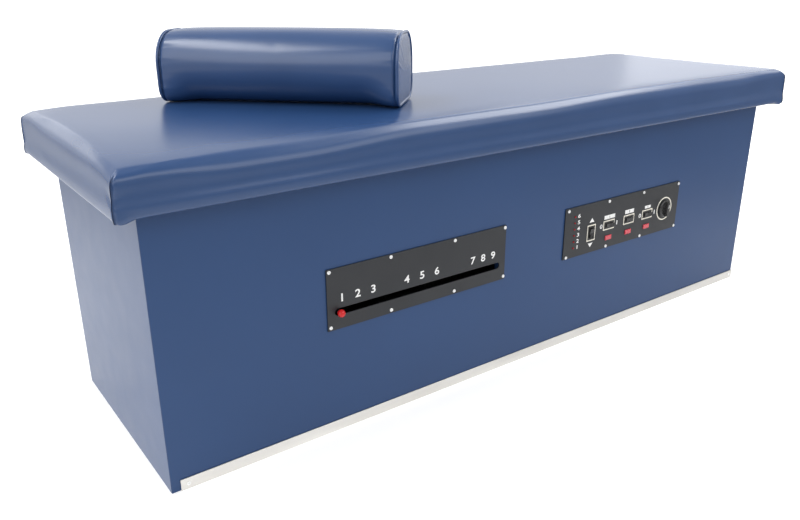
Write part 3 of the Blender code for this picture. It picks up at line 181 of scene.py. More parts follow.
# The cabinet is four chipboard panels faced with a plain navy laminate, pressed with a fine pebble
# against scratches. The same laminate bands their edges, and the panels are screwed from inside.
def finish(name, colour, roughness, metallic=0.0):
    """A surface of one colour and gloss, which the functions below give its grain."""
    material = bpy.data.materials.new(name)
    material.use_nodes = True
    shader = material.node_tree.nodes["Principled BSDF"]
    shader.inputs["Base Color"].default_value = (*colour, 1.0)
    shader.inputs["Roughness"].default_value = roughness
    shader.inputs["Metallic"].default_value = metallic
    return material


def pattern(material, kind, size, stretch=(1, 1, 1), out=0, **settings):
    """A pattern laid through the piece, with cells about size metres across before they are stretched."""
    tree = material.node_tree
    place = tree.nodes.new("ShaderNodeTexCoord")
    mapping = tree.nodes.new("ShaderNodeMapping")
    mapping.inputs["Scale"].default_value = stretch
    texture = tree.nodes.new("ShaderNodeTex" + kind)
    texture.inputs["Scale"].default_value = 1.0 / size
    for key, value in settings.items():
        texture.inputs[key].default_value = value
    tree.links.new(place.outputs["Object"], mapping.inputs["Vector"])
    tree.links.new(mapping.outputs["Vector"], texture.inputs["Vector"])
    return texture.outputs[out]


def relief(material, height, depth):
    """Raises the surface by the pattern, on top of any relief that it already has."""
    tree = material.node_tree
    normal = tree.nodes["Principled BSDF"].inputs["Normal"]
    bump = tree.nodes.new("ShaderNodeBump")
    bump.inputs["Distance"].default_value = depth
    if normal.links:
        tree.links.new(normal.links[0].from_socket, bump.inputs["Normal"])
    tree.links.new(height, bump.inputs["Height"])
    tree.links.new(bump.outputs["Normal"], normal)


def shades(material, factor, *stops):
    """Colours the surface by the pattern, from (place, colour) stops."""
    tree = material.node_tree
    ramp = tree.nodes.new("ShaderNodeValToRGB")
    while len(ramp.color_ramp.elements) < len(stops):
        ramp.color_ramp.elements.new(0.5)
    for element, (place, colour) in zip(ramp.color_ramp.elements, stops):
        element.position = place
        element.color = (*colour, 1.0)
    tree.links.new(factor, ramp.inputs["Fac"])
    tree.links.new(ramp.outputs["Color"], tree.nodes["Principled BSDF"].inputs["Base Color"])


def gloss(material, factor, low, high, pattern_low=0.3, pattern_high=0.7):
    """Lets the roughness wander between two values by the pattern, which mostly lies between its own two."""
    tree = material.node_tree
    span = tree.nodes.new("ShaderNodeMapRange")
    span.inputs["From Min"].default_value = pattern_low
    span.inputs["From Max"].default_value = pattern_high
    span.inputs["To Min"].default_value = low
    span.inputs["To Max"].default_value = high
    tree.links.new(factor, span.inputs["Value"])
    tree.links.new(span.outputs["Result"], tree.nodes["Principled BSDF"].inputs["Roughness"])


def dress(material, *names):
    """Gives the CAD nodes of these names the material."""
    for name in names:
        nodes[name].data.materials.clear()
        nodes[name].data.materials.append(material)


laminate = finish("navy_laminate", (0.026, 0.068, 0.182), 0.36)
shades(laminate, pattern(laminate, "Noise", 0.25, Detail=3.0),
       (0.35, (0.0255, 0.0665, 0.178)), (0.65, (0.0265, 0.0695, 0.186)))
gloss(laminate, pattern(laminate, "Noise", 0.06, Detail=4.0), 0.30, 0.33)
relief(laminate, pattern(laminate, "Noise", 0.0016, Detail=2.0), 0.000012)
laminate.node_tree.nodes["Principled BSDF"].inputs["Specular IOR Level"].default_value = 0.32
dress(laminate, "front_panel", "back_panel", "head_end_panel", "foot_end_panel")


# The base board is raw chipboard between the panels, cut to size and left bare, so that its flakes show.
# It carries the rails and the drive, and is seen only with a panel off.
chipboard = finish("raw_chipboard", (0.36, 0.27, 0.18), 0.85)
flakes = pattern(chipboard, "Voronoi", 0.007, (1.0, 2.2, 1.0), out="Color")
grey = chipboard.node_tree.nodes.new("ShaderNodeRGBToBW")
chipboard.node_tree.links.new(flakes, grey.inputs["Color"])
shades(chipboard, grey.outputs["Val"], (0.2, (0.24, 0.165, 0.100)), (0.5, (0.38, 0.285, 0.185)),
       (0.85, (0.52, 0.41, 0.28)))
relief(chipboard, grey.outputs["Val"], 0.00015)
dress(chipboard, "base_board")


# The kick strip is a flat aluminium bar brushed along its length, held to the foot of the front panel
# by one bright screw near each end. It takes the scuffs of shoes, so its gloss is streaked.
def start_clean():
    """Leaves nothing selected, so that the next tool acts only on the new piece."""
    if bpy.context.object and bpy.context.object.mode == "EDIT":
        bpy.ops.object.mode_set(mode="OBJECT")
    bpy.ops.object.select_all(action="DESELECT")


def pick(piece, kind, test):
    """Selects the faces, edges or points for which test(middle, way) holds, way being a normal or an edge."""
    if piece.mode != "EDIT":
        start_clean()
        piece.select_set(True)
        bpy.context.view_layer.objects.active = piece
        bpy.ops.object.mode_set(mode="EDIT")
    bpy.ops.mesh.select_mode(type=kind)
    bpy.ops.mesh.select_all(action="DESELECT")
    form = bmesh.from_edit_mesh(piece.data)
    if kind == "FACE":
        parts = [(f, f.calc_center_median(), f.normal) for f in form.faces]
    elif kind == "EDGE":
        ends = [(e, e.verts[0].co, e.verts[1].co) for e in form.edges]
        parts = [(e, (first + last) / 2, last - first) for e, first, last in ends]
    else:
        parts = [(v, v.co, v.normal) for v in form.verts]
    for part, middle, way in parts:
        if test(middle, way):
            part.select_set(True)
    bmesh.update_edit_mesh(piece.data)


def settle(piece, name, material, body, angle=35):
    """Applies the piece's place to its mesh, shades it, and lets it ride on its body."""
    if piece.mode == "EDIT":
        bpy.ops.object.mode_set(mode="OBJECT")
    bpy.ops.object.select_all(action="DESELECT")
    piece.select_set(True)
    bpy.context.view_layer.objects.active = piece
    bpy.ops.object.transform_apply(location=True, rotation=True, scale=True)
    bpy.ops.object.shade_smooth_by_angle(angle=math.radians(angle))
    piece.name = piece.data.name = name
    piece.data.materials.clear()
    piece.data.materials.append(material)
    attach(piece, body)
    return piece


def twin(piece, name, place):
    """Another of the same piece, with its own mesh, moved by the place matrix."""
    copy = piece.copy()
    copy.data = piece.data.copy()
    copy.data.transform(place)
    copy.name = copy.data.name = name
    bpy.context.scene.collection.objects.link(copy)
    return copy


def harden(piece, kind, **settings):
    """Adds a modifier to the piece and applies it."""
    modifier = piece.modifiers.new(kind.lower(), kind)
    for key, value in settings.items():
        setattr(modifier, key, value)
    bpy.context.view_layer.objects.active = piece
    bpy.ops.object.modifier_apply(modifier=modifier.name)


brushed = finish("brushed_aluminium", (0.71, 0.695, 0.66), 0.34, 1.0)
hairs = pattern(brushed, "Noise", 0.0009, (0.012, 1.0, 1.0), Detail=3.0)
shades(brushed, pattern(brushed, "Noise", 0.05, (0.25, 1.0, 1.0), Detail=5.0),
       (0.3, (0.66, 0.64, 0.605)), (0.7, (0.76, 0.745, 0.71)))
gloss(brushed, hairs, 0.28, 0.46)
relief(brushed, hairs, 0.00002)
dress(brushed, "kick_strip")

screw_radius = 0.0042
screw_head = 0.0019
screw_round = 0.0013
cross_slot = (0.0042, 0.0018, 0.0009)
start_clean()
bpy.ops.mesh.primitive_cylinder_add(vertices=28, radius=screw_radius, depth=screw_head,
                                    location=(0, -screw_head / 2, 0), rotation=(math.pi / 2, 0, 0))
screw = bpy.context.object
bpy.ops.object.transform_apply(location=True, rotation=True, scale=True)
pick(screw, "EDGE", lambda middle, way: middle.y < -0.9 * screw_head and middle.length > 0.5 * screw_radius)
bpy.ops.mesh.bevel(offset=screw_round, segments=4, profile=0.55)
bpy.ops.object.mode_set(mode="OBJECT")
for turn in (0, math.pi / 2):
    bpy.ops.object.select_all(action="DESELECT")
    bpy.ops.mesh.primitive_cube_add(size=1, location=(0, -screw_head, 0), rotation=(0, turn, 0),
                                    scale=cross_slot)
    slot_cutter = bpy.context.object
    harden(screw, "BOOLEAN", operation="DIFFERENCE", solver="EXACT", object=slot_cutter)
    bpy.data.objects.remove(slot_cutter)

nickel = finish("nickel_plate", (0.95, 0.95, 0.94), 0.42, 0.35)
gloss(nickel, pattern(nickel, "Noise", 0.004, Detail=3.0), 0.36, 0.50)
relief(nickel, pattern(nickel, "Noise", 0.0006, Detail=2.0), 0.000008)


def drive_screws(places, face, label):
    """Sets one screw at each (x, z) place on a face, each turned as it happened to stop."""
    for count, (x, z) in enumerate(places, 1):
        turned = Matrix.Rotation(math.radians(37 * count % 90), 4, "Y")
        copy = twin(screw, "%s_screw_%d" % (label, count), Matrix.Translation((x, face, z)) @ turned)
        settle(copy, copy.name, nickel, "cabinet")


strip_low, strip_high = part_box("kick_strip")
strip_screw_inset, strip_screw_height = 0.016, 0.0128
drive_screws([(strip_low.x + strip_screw_inset, strip_screw_height),
              (strip_high.x - strip_screw_inset, strip_screw_height)], strip_low.y, "kick_strip")


# The deck under the padding is a sheet of birch plywood. Only its underside and the plies along its
# edge could be seen, inside the cabinet and under the overhang.
plywood = finish("birch_plywood", (0.50, 0.36, 0.21), 0.65)
figure = pattern(plywood, "Noise", 0.02, (0.06, 1.0, 5.0), Detail=6.0, Distortion=0.6)
shades(plywood, figure, (0.3, (0.40, 0.27, 0.15)), (0.7, (0.58, 0.43, 0.27)))
gloss(plywood, figure, 0.6, 0.75)
relief(plywood, figure, 0.0001)
dress(plywood, "deck_board")


# The padding is a slab of cut foam on the deck, with a long channel from below for the rollers.
# It is glued down, and the cover hides all of it.
top_half = Vector((1.016, 0.3302, 0))
front_press, head_press = 0.0060, 0.0100
head_corner_press, foot_corner_press, back_corner_press = 0.0060, 0.0010, 0.0030
corner_reach, back_corner_reach, back_run = 0.040, 0.030, 0.2
front_from, front_run = -0.02, 0.30
worn_from, worn_run = 0.30, 0.35
head_from, head_run = -0.38, 0.28


def share(value):
    """The value, kept from nought to one."""
    return min(1.0, max(0.0, value))


def ease(value):
    """Runs smoothly from nought to one as the value does, and stays there beyond."""
    value = share(value)
    return value * value * (3 - 2 * value)


def sag(x, y):
    """How far use has pressed the padding down: along the front, most by the head, and at the corners."""
    toward_front = share((front_from - y) / front_run) ** 2
    worn = front_press * ease((worn_from - x) / worn_run) + head_press * ease((head_from - x) / head_run)
    from_corner = math.hypot(top_half.x - abs(x), top_half.y - abs(y))
    deep, wide = foot_corner_press, corner_reach
    if x < 0:
        toward_back_corner = ease(y / back_run)
        deep = head_corner_press + back_corner_press * toward_back_corner
        wide = corner_reach + back_corner_reach * toward_back_corner
    return toward_front * worn + deep * math.exp(-from_corner / wide)


foam = finish("cream_foam", (0.74, 0.68, 0.48), 0.95)
pores = pattern(foam, "Voronoi", 0.0018)
shades(foam, pores, (0.05, (0.52, 0.46, 0.30)), (0.4, (0.76, 0.70, 0.50)))
relief(foam, pores, 0.0008)
start_clean()
slab = nodes["top_foam"].copy()
slab.data = slab.data.copy()
slab.parent = None
for key in list(slab.keys()):
    del slab[key]
bpy.context.scene.collection.objects.link(slab)
slab.select_set(True)
bpy.context.view_layer.objects.active = slab
bpy.ops.object.mode_set(mode="EDIT")
bpy.ops.mesh.select_all(action="SELECT")
bpy.ops.mesh.remove_doubles(threshold=0.00002)
foam_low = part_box("top_foam")[0].z
foam_fit = (0.990, 0.975, 0.925)
foam_give, foam_depth = 1.1, 0.075
bpy.ops.transform.resize(value=foam_fit, center_override=(0, 0, foam_low))
bpy.ops.object.mode_set(mode="OBJECT")
for point in slab.data.vertices:
    height_share = max(0.0, (point.co.z - foam_low) / foam_depth)
    point.co.z -= foam_give * sag(point.co.x, point.co.y) * height_share
slab.data.update()
settle(slab, "foam_slab", foam, "cabinet")
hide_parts("top_foam")


# The cover is glossy navy vinyl pulled over the foam and stapled under the deck. Its corners are boxed:
# one sewn seam runs down each, and the spare vinyl is folded into a small ear below the hem.
hem_low = 0.5830
top_high = 0.6858
roll = 0.032
crown = 0.0030
cover_thick = 0.0012
side_corner, top_corner, corner_run = 0.009, 0.020, 0.10
deck_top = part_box("deck_board")[1].z
flat_high = top_high - 0.3 * crown
roll_low = flat_high - roll
vinyl_shine, seam_shade_shine = 0.68, 0.02

vinyl = finish("navy_vinyl", (0.023, 0.064, 0.176), 0.27)
shades(vinyl, pattern(vinyl, "Noise", 0.12, Detail=4.0),
       (0.35, (0.022, 0.062, 0.171)), (0.65, (0.024, 0.066, 0.181)))
gloss(vinyl, pattern(vinyl, "Noise", 0.40, Detail=1.0), 0.266, 0.274)
relief(vinyl, pattern(vinyl, "Noise", 0.010, Detail=2.0), 0.000002)
tree = vinyl.node_tree
shader = tree.nodes["Principled BSDF"]
# Painted shade: along each corner seam the vinyl is darkened and its reflection dulled, standing in for the
# shade in the seam's groove.
seam_shade_line = tree.nodes.new("ShaderNodeAttribute")
seam_shade_line.attribute_name = "seam"
shaded = tree.nodes.new("ShaderNodeMix")
shaded.data_type = "RGBA"
# The mix has an A and a B for each kind of value, so those for colour are taken by number.
how_shaded, plain_colour, seam_shade_colour = shaded.inputs[0], shaded.inputs[6], shaded.inputs[7]
seam_shade_colour.default_value = (0.003, 0.008, 0.026, 1)
tree.links.new(shader.inputs["Base Color"].links[0].from_socket, plain_colour)
tree.links.new(seam_shade_line.outputs["Fac"], how_shaded)
tree.links.new(shaded.outputs[2], shader.inputs["Base Color"])
dulled = tree.nodes.new("ShaderNodeMapRange")
dulled.inputs["To Min"].default_value = vinyl_shine
dulled.inputs["To Max"].default_value = seam_shade_shine
tree.links.new(seam_shade_line.outputs["Fac"], dulled.inputs["Value"])
tree.links.new(dulled.outputs["Result"], shader.inputs["Specular IOR Level"])


def graded(half, near, far, growth=1.22):
    """Places from minus half to half, close together near the ends and wide apart in the middle."""
    step, steps = near, []
    while sum(steps) < half:
        steps.append(min(step, far))
        step *= growth
    out = np.cumsum([0.0] + steps) * half / sum(steps)
    return np.concatenate([out - half, (half - out)[::-1][1:]])


def corner_radius(inset, low):
    """How round the plan of the cover is at its corners, at an inset from its outline."""
    if low:
        return side_corner
    if inset < roll:
        return side_corner + (top_corner - side_corner) * inset / roll
    return top_corner * max(0.0, 1 - (inset - roll) / corner_run)


def tightened(inset, narrow, run=0.07):
    """Where a point at an inset from the outline goes when the roll there is only narrow of its size."""
    if inset < roll:
        return inset * narrow
    return inset - (1 - narrow) * roll * max(0.0, 1 - (inset - roll) / run)


def cloth(piece, pins, pressure, cap, frames=20):
    """Swells the piece like a filled cover for some frames, its pins held, no point past the cap."""
    rest = np.array([v.co for v in piece.data.vertices])
    held = piece.vertex_groups.new(name="held")
    held.add([int(i) for i in np.nonzero(pins)[0]], 1.0, "REPLACE")
    swelling = piece.modifiers.new("cloth", "CLOTH")
    swelling.settings.quality = 5
    swelling.settings.mass = 0.3
    swelling.settings.use_pressure = True
    swelling.settings.uniform_pressure_force = pressure
    swelling.settings.vertex_group_mass = "held"
    swelling.settings.effector_weights.gravity = 0.0
    swelling.point_cache.frame_start = 1
    swelling.point_cache.frame_end = frames
    for step in range(1, frames + 1):
        bpy.context.scene.frame_set(step)
    swollen = piece.evaluated_get(bpy.context.evaluated_depsgraph_get())
    moved = np.array([v.co for v in swollen.data.vertices]) - rest
    piece.modifiers.remove(swelling)
    piece.vertex_groups.remove(held)
    bpy.context.scene.frame_set(1)
    length = np.linalg.norm(moved, axis=1, keepdims=True) + 1e-9
    moved *= cap * np.tanh(length / cap) / length
    piece.data.vertices.foreach_set("co", (rest + moved).ravel())
    piece.data.update()


fine_step, coarse_step = 0.0022, 0.020
columns = graded(top_half.x - roll, fine_step, coarse_step)
rows = graded(top_half.y - roll, fine_step, coarse_step)
start_clean()
bpy.ops.mesh.primitive_grid_add(x_subdivisions=len(columns) - 1, y_subdivisions=len(rows) - 1, size=2)
cover = bpy.context.object
for point in cover.data.vertices:
    point.co.x = columns[round((point.co.x + 1) / 2 * (len(columns) - 1))]
    point.co.y = rows[round((point.co.y + 1) / 2 * (len(rows) - 1))]
    point.co.z = flat_high
round_angles = [math.radians(angle) for angle in (75, 60, 45, 30, 15, 0)]
rings = [(roll * (1 - math.cos(angle)), roll_low + roll * math.sin(angle)) for angle in round_angles]
rings += [(0, z) for z in (0.6400, 0.6310, 0.6220, 0.6130, 0.6045, 0.5960, 0.5900)]
rings += [(0.0006, 0.5862), (0.0020, 0.5840)]
rings += [(turned_in, hem_low) for turned_in in (0.0045, 0.012, 0.022, 0.034)]
pick(cover, "EDGE", lambda middle, way: False)
bpy.ops.mesh.select_non_manifold()
inset, height = roll, flat_high
for next_inset, next_height in rings:
    bpy.ops.mesh.extrude_region_move(TRANSFORM_OT_translate={"value": (0, 0, next_height - height)})
    bpy.ops.transform.resize(value=((top_half.x - next_inset) / (top_half.x - inset),
                                    (top_half.y - next_inset) / (top_half.y - inset), 1),
                             center_override=(0, 0, 0))
    inset, height = next_inset, next_height
bpy.ops.mesh.select_all(action="SELECT")
bpy.ops.mesh.normals_make_consistent(inside=False)
bpy.ops.object.mode_set(mode="OBJECT")

hem_turn = 0.5866
corner_narrow, narrow_run = 0.55, 0.20
waist, waist_rise, waist_run = 0.0010, 0.02, 0.07
crown_run, press_rise = 0.05, 0.06
for point in cover.data.vertices:
    x, y, z = point.co
    from_side = Vector((top_half.x - abs(x), top_half.y - abs(y)))
    by_an_end = from_side.x < from_side.y
    inset = min(from_side)
    along = max(from_side) - inset
    reach = corner_radius(inset, z < hem_turn)
    if along < reach:
        turn = math.radians(45) * (1 - along / reach)
        plan = (reach * (1 - math.sin(turn)), reach * (1 - math.cos(turn)))
        if by_an_end:
            plan = plan[::-1]
        x = math.copysign(top_half.x - inset - plan[0], x)
        y = math.copysign(top_half.y - inset - plan[1], y)
    if z > deck_top:
        narrow_x = corner_narrow + (1 - corner_narrow) * ease((from_side.y - roll) / narrow_run)
        narrow_y = corner_narrow + (1 - corner_narrow) * ease((from_side.x - roll) / narrow_run)
        x += math.copysign(from_side.x - tightened(from_side.x, narrow_x), x)
        y += math.copysign(from_side.y - tightened(from_side.y, narrow_y), y)
        narrow = narrow_x if by_an_end else narrow_y
        if z > roll_low:
            z = flat_high - (flat_high - z) * narrow
        else:
            z += (1 - narrow) * roll * (z - deck_top) / (roll_low - deck_top)
        pulled = waist * min(1.0, (z - deck_top) / waist_rise) * (1 - math.exp(-along / waist_run))
        if inset < roll and by_an_end:
            x -= math.copysign(pulled, x)
        elif inset < roll:
            y -= math.copysign(pulled, y)
        fall = max(0.0, 1 - (inset - roll) / crown_run) if inset >= roll else 1.0
        lift = min(1.0, (z - deck_top) / press_rise)
        z -= (0.7 * crown * fall * fall + sag(x, y)) * lift
    point.co = (x, y, z)
cover.data.update()

cover_pressure, top_give, side_give = 4.0, 0.0002, 0.0040
spots = np.array([v.co for v in cover.data.vertices])
insets = np.minimum(top_half.x - np.abs(spots[:, 0]), top_half.y - np.abs(spots[:, 1]))
give = np.where(insets > 0.6 * roll, top_give, side_give)[:, None]
cloth(cover, spots[:, 2] < deck_top + 0.001, cover_pressure, give)
flat_inset, corner_zone, side_high = 0.06, 0.09, 0.640
pick(cover, "VERT", lambda middle, way: top_half.x - abs(middle.x) > flat_inset
     and top_half.y - abs(middle.y) > flat_inset)
bpy.ops.mesh.vertices_smooth(factor=0.5, repeat=8)
pick(cover, "VERT", lambda middle, way: middle.z > side_high and top_half.x - abs(middle.x) < corner_zone
     and top_half.y - abs(middle.y) < corner_zone)
bpy.ops.mesh.vertices_smooth(factor=0.5, repeat=4)
bpy.ops.object.mode_set(mode="OBJECT")
harden(cover, "SUBSURF", levels=1, render_levels=1)

diagonal = 0.7071
corner_span, corner_high = 0.05, 0.676
seam_high, seam_fade, seam_inset, inset_fade = 0.672, 0.008, 0.015, 0.006
seam_deep, seam_wide, seam_shade_wide = 0.0046, 0.0012, 0.0010
lip_high, lip_off, lip_wide = 0.0006, 0.0040, 0.0022
ear_off, ear_wide, ear_high, ear_rise = 0.008, 0.011, 0.598, 0.013
ear_drop, ear_swing = 0.0058, 0.0016
wave_high, wave_rise, wave_run, wave_least = 0.0007, 0.03, 0.14, 0.15
wave_low = deck_top + 0.006
waves_per_metre = (4.2, 6.0, 9.0)
seam_shade = [0.0] * len(cover.data.vertices)
for point in cover.data.vertices:
    x, y, z = point.co
    from_side = Vector((top_half.x - abs(x), top_half.y - abs(y)))
    if max(from_side) < corner_span and z < corner_high:
        across = (from_side.x - from_side.y) * diagonal
        shown = share((seam_high - z) / seam_fade) * share((seam_inset - min(from_side)) / inset_fade)
        groove = (lip_high * math.exp(-((abs(across) - lip_off) / lip_wide) ** 2)
                  - seam_deep * math.exp(-(across / seam_wide) ** 2))
        # How much painted seam shade this point takes, in a band narrower than the groove.
        seam_shade[point.index] = shown * math.exp(-(across / seam_shade_wide) ** 2)
        x += math.copysign(groove * shown * diagonal, x)
        y += math.copysign(groove * shown * diagonal, y)
        ear = math.exp(-((across - ear_off) / ear_wide) ** 2) * share((ear_high - z) / ear_rise)
        z -= ear_drop * ear
        y += math.copysign(ear_swing * ear, y)
    wave = noise.noise(Vector((x, y, z)) * Vector(waves_per_metre))
    if z > wave_low:
        from_edge = min(top_half.x - abs(x), top_half.y - abs(y))
        rising = min(1.0, (z - wave_low) / wave_rise)
        z += wave_high * wave * rising * max(wave_least, 1 - from_edge / wave_run)
    point.co = (x, y, min(z, top_high))
cover.data.update()
cover.data.attributes.new("seam", "FLOAT", "POINT").data.foreach_set("value", seam_shade)
harden(cover, "SOLIDIFY", thickness=cover_thick, offset=-1.0)
settle(cover, "vinyl_cover", vinyl, "cabinet", 60)
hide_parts("top_cover")


# The bolster is a loaf-shaped foam cushion in the same vinyl, which lies loose on the top. The long
# wrap is sewn to a panel at each end with a welt of piping between them, and draws in to that seam.
loaf_length, loaf_width, loaf_height = 0.5460, 0.1950, 0.1570
shoulder, foot_round = 0.072, 0.034
loaf_turn = math.radians(-46)
loaf_low, loaf_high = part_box("bolster")
loaf_middle = (loaf_low + loaf_high) / 2
loaf_place = (Matrix.Translation((loaf_middle.x, loaf_middle.y, loaf_low.z))
              @ Matrix.Rotation(loaf_turn, 4, "Z"))
piping_radius, seam_back = 0.0034, 0.0012
seam_x = loaf_length / 2 - seam_back
welt_fit = (2 * seam_x / loaf_length, 0.978, 0.957)

start_clean()
bpy.ops.mesh.primitive_cube_add(size=1, location=(0, 0, loaf_height / 2),
                                scale=(loaf_length, loaf_width, loaf_height))
loaf = bpy.context.object
bpy.ops.object.transform_apply(location=True, rotation=True, scale=True)
pick(loaf, "EDGE", lambda middle, way: abs(way.x) > 0.1 and middle.z > loaf_height / 2)
bpy.ops.mesh.bevel(offset=shoulder, segments=12, profile=0.5)
pick(loaf, "EDGE", lambda middle, way: abs(way.x) > 0.1 and middle.z < 0.001)
bpy.ops.mesh.bevel(offset=foot_round, segments=6, profile=0.5)
bpy.ops.object.mode_set(mode="OBJECT")

welts = []
for end in (-1, 1):
    welt = twin(loaf, "bolster_piping_%s" % ("head" if end < 0 else "foot"), Matrix())
    bpy.context.view_layer.objects.active = welt
    pick(welt, "FACE", lambda middle, way: way.x * end < 0.9)
    bpy.ops.mesh.delete(type="FACE")
    bpy.ops.mesh.select_all(action="SELECT")
    bpy.ops.transform.resize(value=welt_fit, center_override=(0, 0, 0))
    bpy.ops.mesh.delete(type="ONLY_FACE")
    bpy.ops.object.mode_set(mode="OBJECT")
    bpy.ops.object.select_all(action="DESELECT")
    welt.select_set(True)
    bpy.ops.object.convert(target="CURVE")
    welt = bpy.context.object
    welt.data.bevel_depth = piping_radius
    welt.data.bevel_resolution = 4
    bpy.ops.object.convert(target="MESH")
    welt = bpy.context.object
    welt.data.transform(Matrix.Translation((0, 0, piping_radius)))
    welts.append(welt)


def under(radius, z):
    """How far the side has turned in under the cushion at a height, where its foot has this radius."""
    return radius - math.sqrt(max(0.0, radius ** 2 - max(0.0, radius - z) ** 2))


def wrinkle(around, pitch, end):
    """How a wrinkle stands at an angle around the cushion, from minus one to one, its own at each end."""
    return noise.noise(Vector((pitch * math.cos(around), pitch * math.sin(around), end)))


start_clean()
loaf.select_set(True)
bpy.context.view_layer.objects.active = loaf
loaf.data.remesh_voxel_size = 0.005
bpy.ops.object.voxel_remesh()
draw_from, end_draw = 0.235, 0.016
tuck_round, tuck_end, tuck_run, tuck_side = 0.074, 0.262, 0.07, 0.06
for point in loaf.data.vertices:
    x, y, z = point.co
    ending = share((abs(x) - draw_from) / (seam_x - draw_from))
    drawn = 1 - end_draw * ending * ending
    tucked = ease((tuck_end - abs(x)) / tuck_run) * (under(tuck_round, z) - under(foot_round, z))
    inward = math.copysign(tucked, y) * min(1.0, abs(y) / tuck_side)
    point.co = (x, y * drawn - inward, z * drawn)
loaf.data.update()
loaf_pressure, loaf_give = 4.0, 0.0060
foot_held, seam_held_back, seam_held_wide = 0.0012, 0.004, 0.0035
spots = np.array([v.co for v in loaf.data.vertices])
at_foot = spots[:, 2] < foot_held
at_seam = np.abs(np.abs(spots[:, 0]) - loaf_length / 2 + seam_held_back) < seam_held_wide
cloth(loaf, at_foot | at_seam, loaf_pressure, loaf_give)
wrap_end, panel_start = seam_x - 0.018, seam_x - 0.001
pick(loaf, "VERT", lambda middle, way: abs(middle.x) < wrap_end or abs(middle.x) > panel_start)
bpy.ops.mesh.vertices_smooth(factor=0.5, repeat=6)
bpy.ops.object.mode_set(mode="OBJECT")
harden(loaf, "SUBSURF", levels=1, render_levels=1)
heart_z, skin_from, lying_z = 0.06, 0.045, 0.02
draw_deep, draw_back, draw_run = 0.0042, 0.0052, 0.0028
pucker_high, pucker_run = 0.0014, 0.020
fold_high, fold_from, fold_run = 0.0012, 0.025, 0.045
for point in loaf.data.vertices:
    x, y, z = point.co
    from_seam = abs(x) - seam_x
    around = math.atan2(z - heart_z, y)
    from_heart = Vector((0, y, z - heart_z))
    if from_heart.length > skin_from:
        pucker = pucker_high * wrinkle(around, 9, math.copysign(3, x))
        draw = -draw_deep * math.exp(-((from_seam + draw_back) / draw_run) ** 2)
        draw += pucker * math.exp(-abs(from_seam) / pucker_run)
        y += draw * from_heart.y / from_heart.length
        z += draw * from_heart.z / from_heart.length if z > lying_z else 0
    if from_seam > -0.002:
        rim = share((from_heart.length - fold_from) / fold_run)
        fold = fold_high * wrinkle(around, 7, math.copysign(5, x))
        x += math.copysign(fold * rim, x)
    point.co = (x, y, max(z, 0.0))
loaf.data.update()
loaf.data.transform(loaf_place)
settle(loaf, "bolster_cushion", vinyl, "bolster", 60)
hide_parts("bolster")
for welt in welts:
    welt.data.transform(loaf_place)
    settle(welt, welt.name, vinyl, "bolster", 60)


# The two plates on the front are steel sheet under satin charcoal paint, let in over a cut-out of the
# panel and held by eight small screws each.
charcoal = finish("charcoal_paint", (0.026, 0.028, 0.032), 0.42)
gloss(charcoal, pattern(charcoal, "Noise", 0.02, Detail=4.0), 0.38, 0.47)
shades(charcoal, pattern(charcoal, "Noise", 0.08, Detail=4.0),
       (0.35, (0.024, 0.026, 0.030)), (0.65, (0.028, 0.030, 0.034)))
relief(charcoal, pattern(charcoal, "Noise", 0.0012, Detail=2.0), 0.00002)
charcoal.node_tree.nodes["Principled BSDF"].inputs["Specular IOR Level"].default_value = 0.40
dress(charcoal, "roller_plate", "control_plate")
plate_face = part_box("roller_plate")[0].y
head_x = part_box("front_panel")[0].x
for plate, screw_columns, screw_rows in (
    ("roller_plate", (0.3739, 0.5313, 0.7136, 0.8714), (0.3826, 0.2561)),
    ("control_plate", (1.0978, 1.2571, 1.4044, 1.5641), (0.3813, 0.2533)),
):
    drive_screws([(head_x + x, z) for z in screw_rows for x in screw_columns], plate_face, plate)
bpy.data.objects.remove(screw)


# The plates are screen printed in white ink before they are fitted, so the print lies just proud of the
# paint. Plain numbers mark nine places along the roller slot.
ink_thick, ink_sunk = 0.00006, 0.00001
figure_bold = 0.02


def mottle(material, size, dark, light, detail=4.0):
    """Lets the colour wander between two shades, in soft spots of about a size."""
    shades(material, pattern(material, "Noise", size, Detail=detail), (0.3, dark), (0.7, light))


ink = finish("white_ink", (0.95, 0.95, 0.94), 0.55)
mottle(ink, 0.004, (0.92, 0.92, 0.91), (0.97, 0.97, 0.96))
relief(ink, pattern(ink, "Noise", 0.0004), 0.00001)


def print_figure(figure, x, z, height, name, colour=ink, layer=0, broad=1.15):
    """Prints one figure on a plate, its foot at z and its middle at x, over any layers before it."""
    start_clean()
    bpy.ops.object.text_add(rotation=(math.pi / 2, 0, 0))
    letter = bpy.context.object
    letter.data.body = figure
    letter.data.align_x = "CENTER"
    letter.data.offset = figure_bold
    letter.data.extrude = figure_bold
    bpy.ops.object.convert(target="MESH")
    letter = bpy.context.object
    bpy.ops.object.transform_apply(location=True, rotation=True, scale=True)
    spots = np.array([v.co for v in letter.data.vertices])
    low, high = spots.min(0), spots.max(0)
    scale = height / (high[2] - low[2])
    letter.data.transform(
        Matrix.Translation((x, plate_face + ink_sunk - layer * ink_thick, z))
        @ Matrix.Diagonal((broad * scale, ink_thick / (high[1] - low[1]), scale, 1))
        @ Matrix.Translation((-(low[0] + high[0]) / 2, -high[1], -low[2])))
    return settle(letter, name, colour, "cabinet", 30)


zone_foot, zone_height = 0.3105, 0.0185
for count, x in enumerate((0.404, 0.444, 0.484, 0.575, 0.618, 0.661, 0.771, 0.803, 0.835), 1):
    print_figure(str(count), head_x + x, zone_foot, zone_height, "zone_figure_%d" % count)


# The control plate's print: a figure beside each level light, arrows for the lift, a cream frame round
# each switch and ring round the timer, a numbered white label over each switch, 0 and 1 at the rockers,
# and a white mark painted on the timer's grip.
cream_ink = finish("cream_ink", (0.92, 0.88, 0.77), 0.55)
mottle(cream_ink, 0.004, (0.88, 0.84, 0.73), (0.95, 0.91, 0.80))
relief(cream_ink, pattern(cream_ink, "Noise", 0.0004), 0.00001)


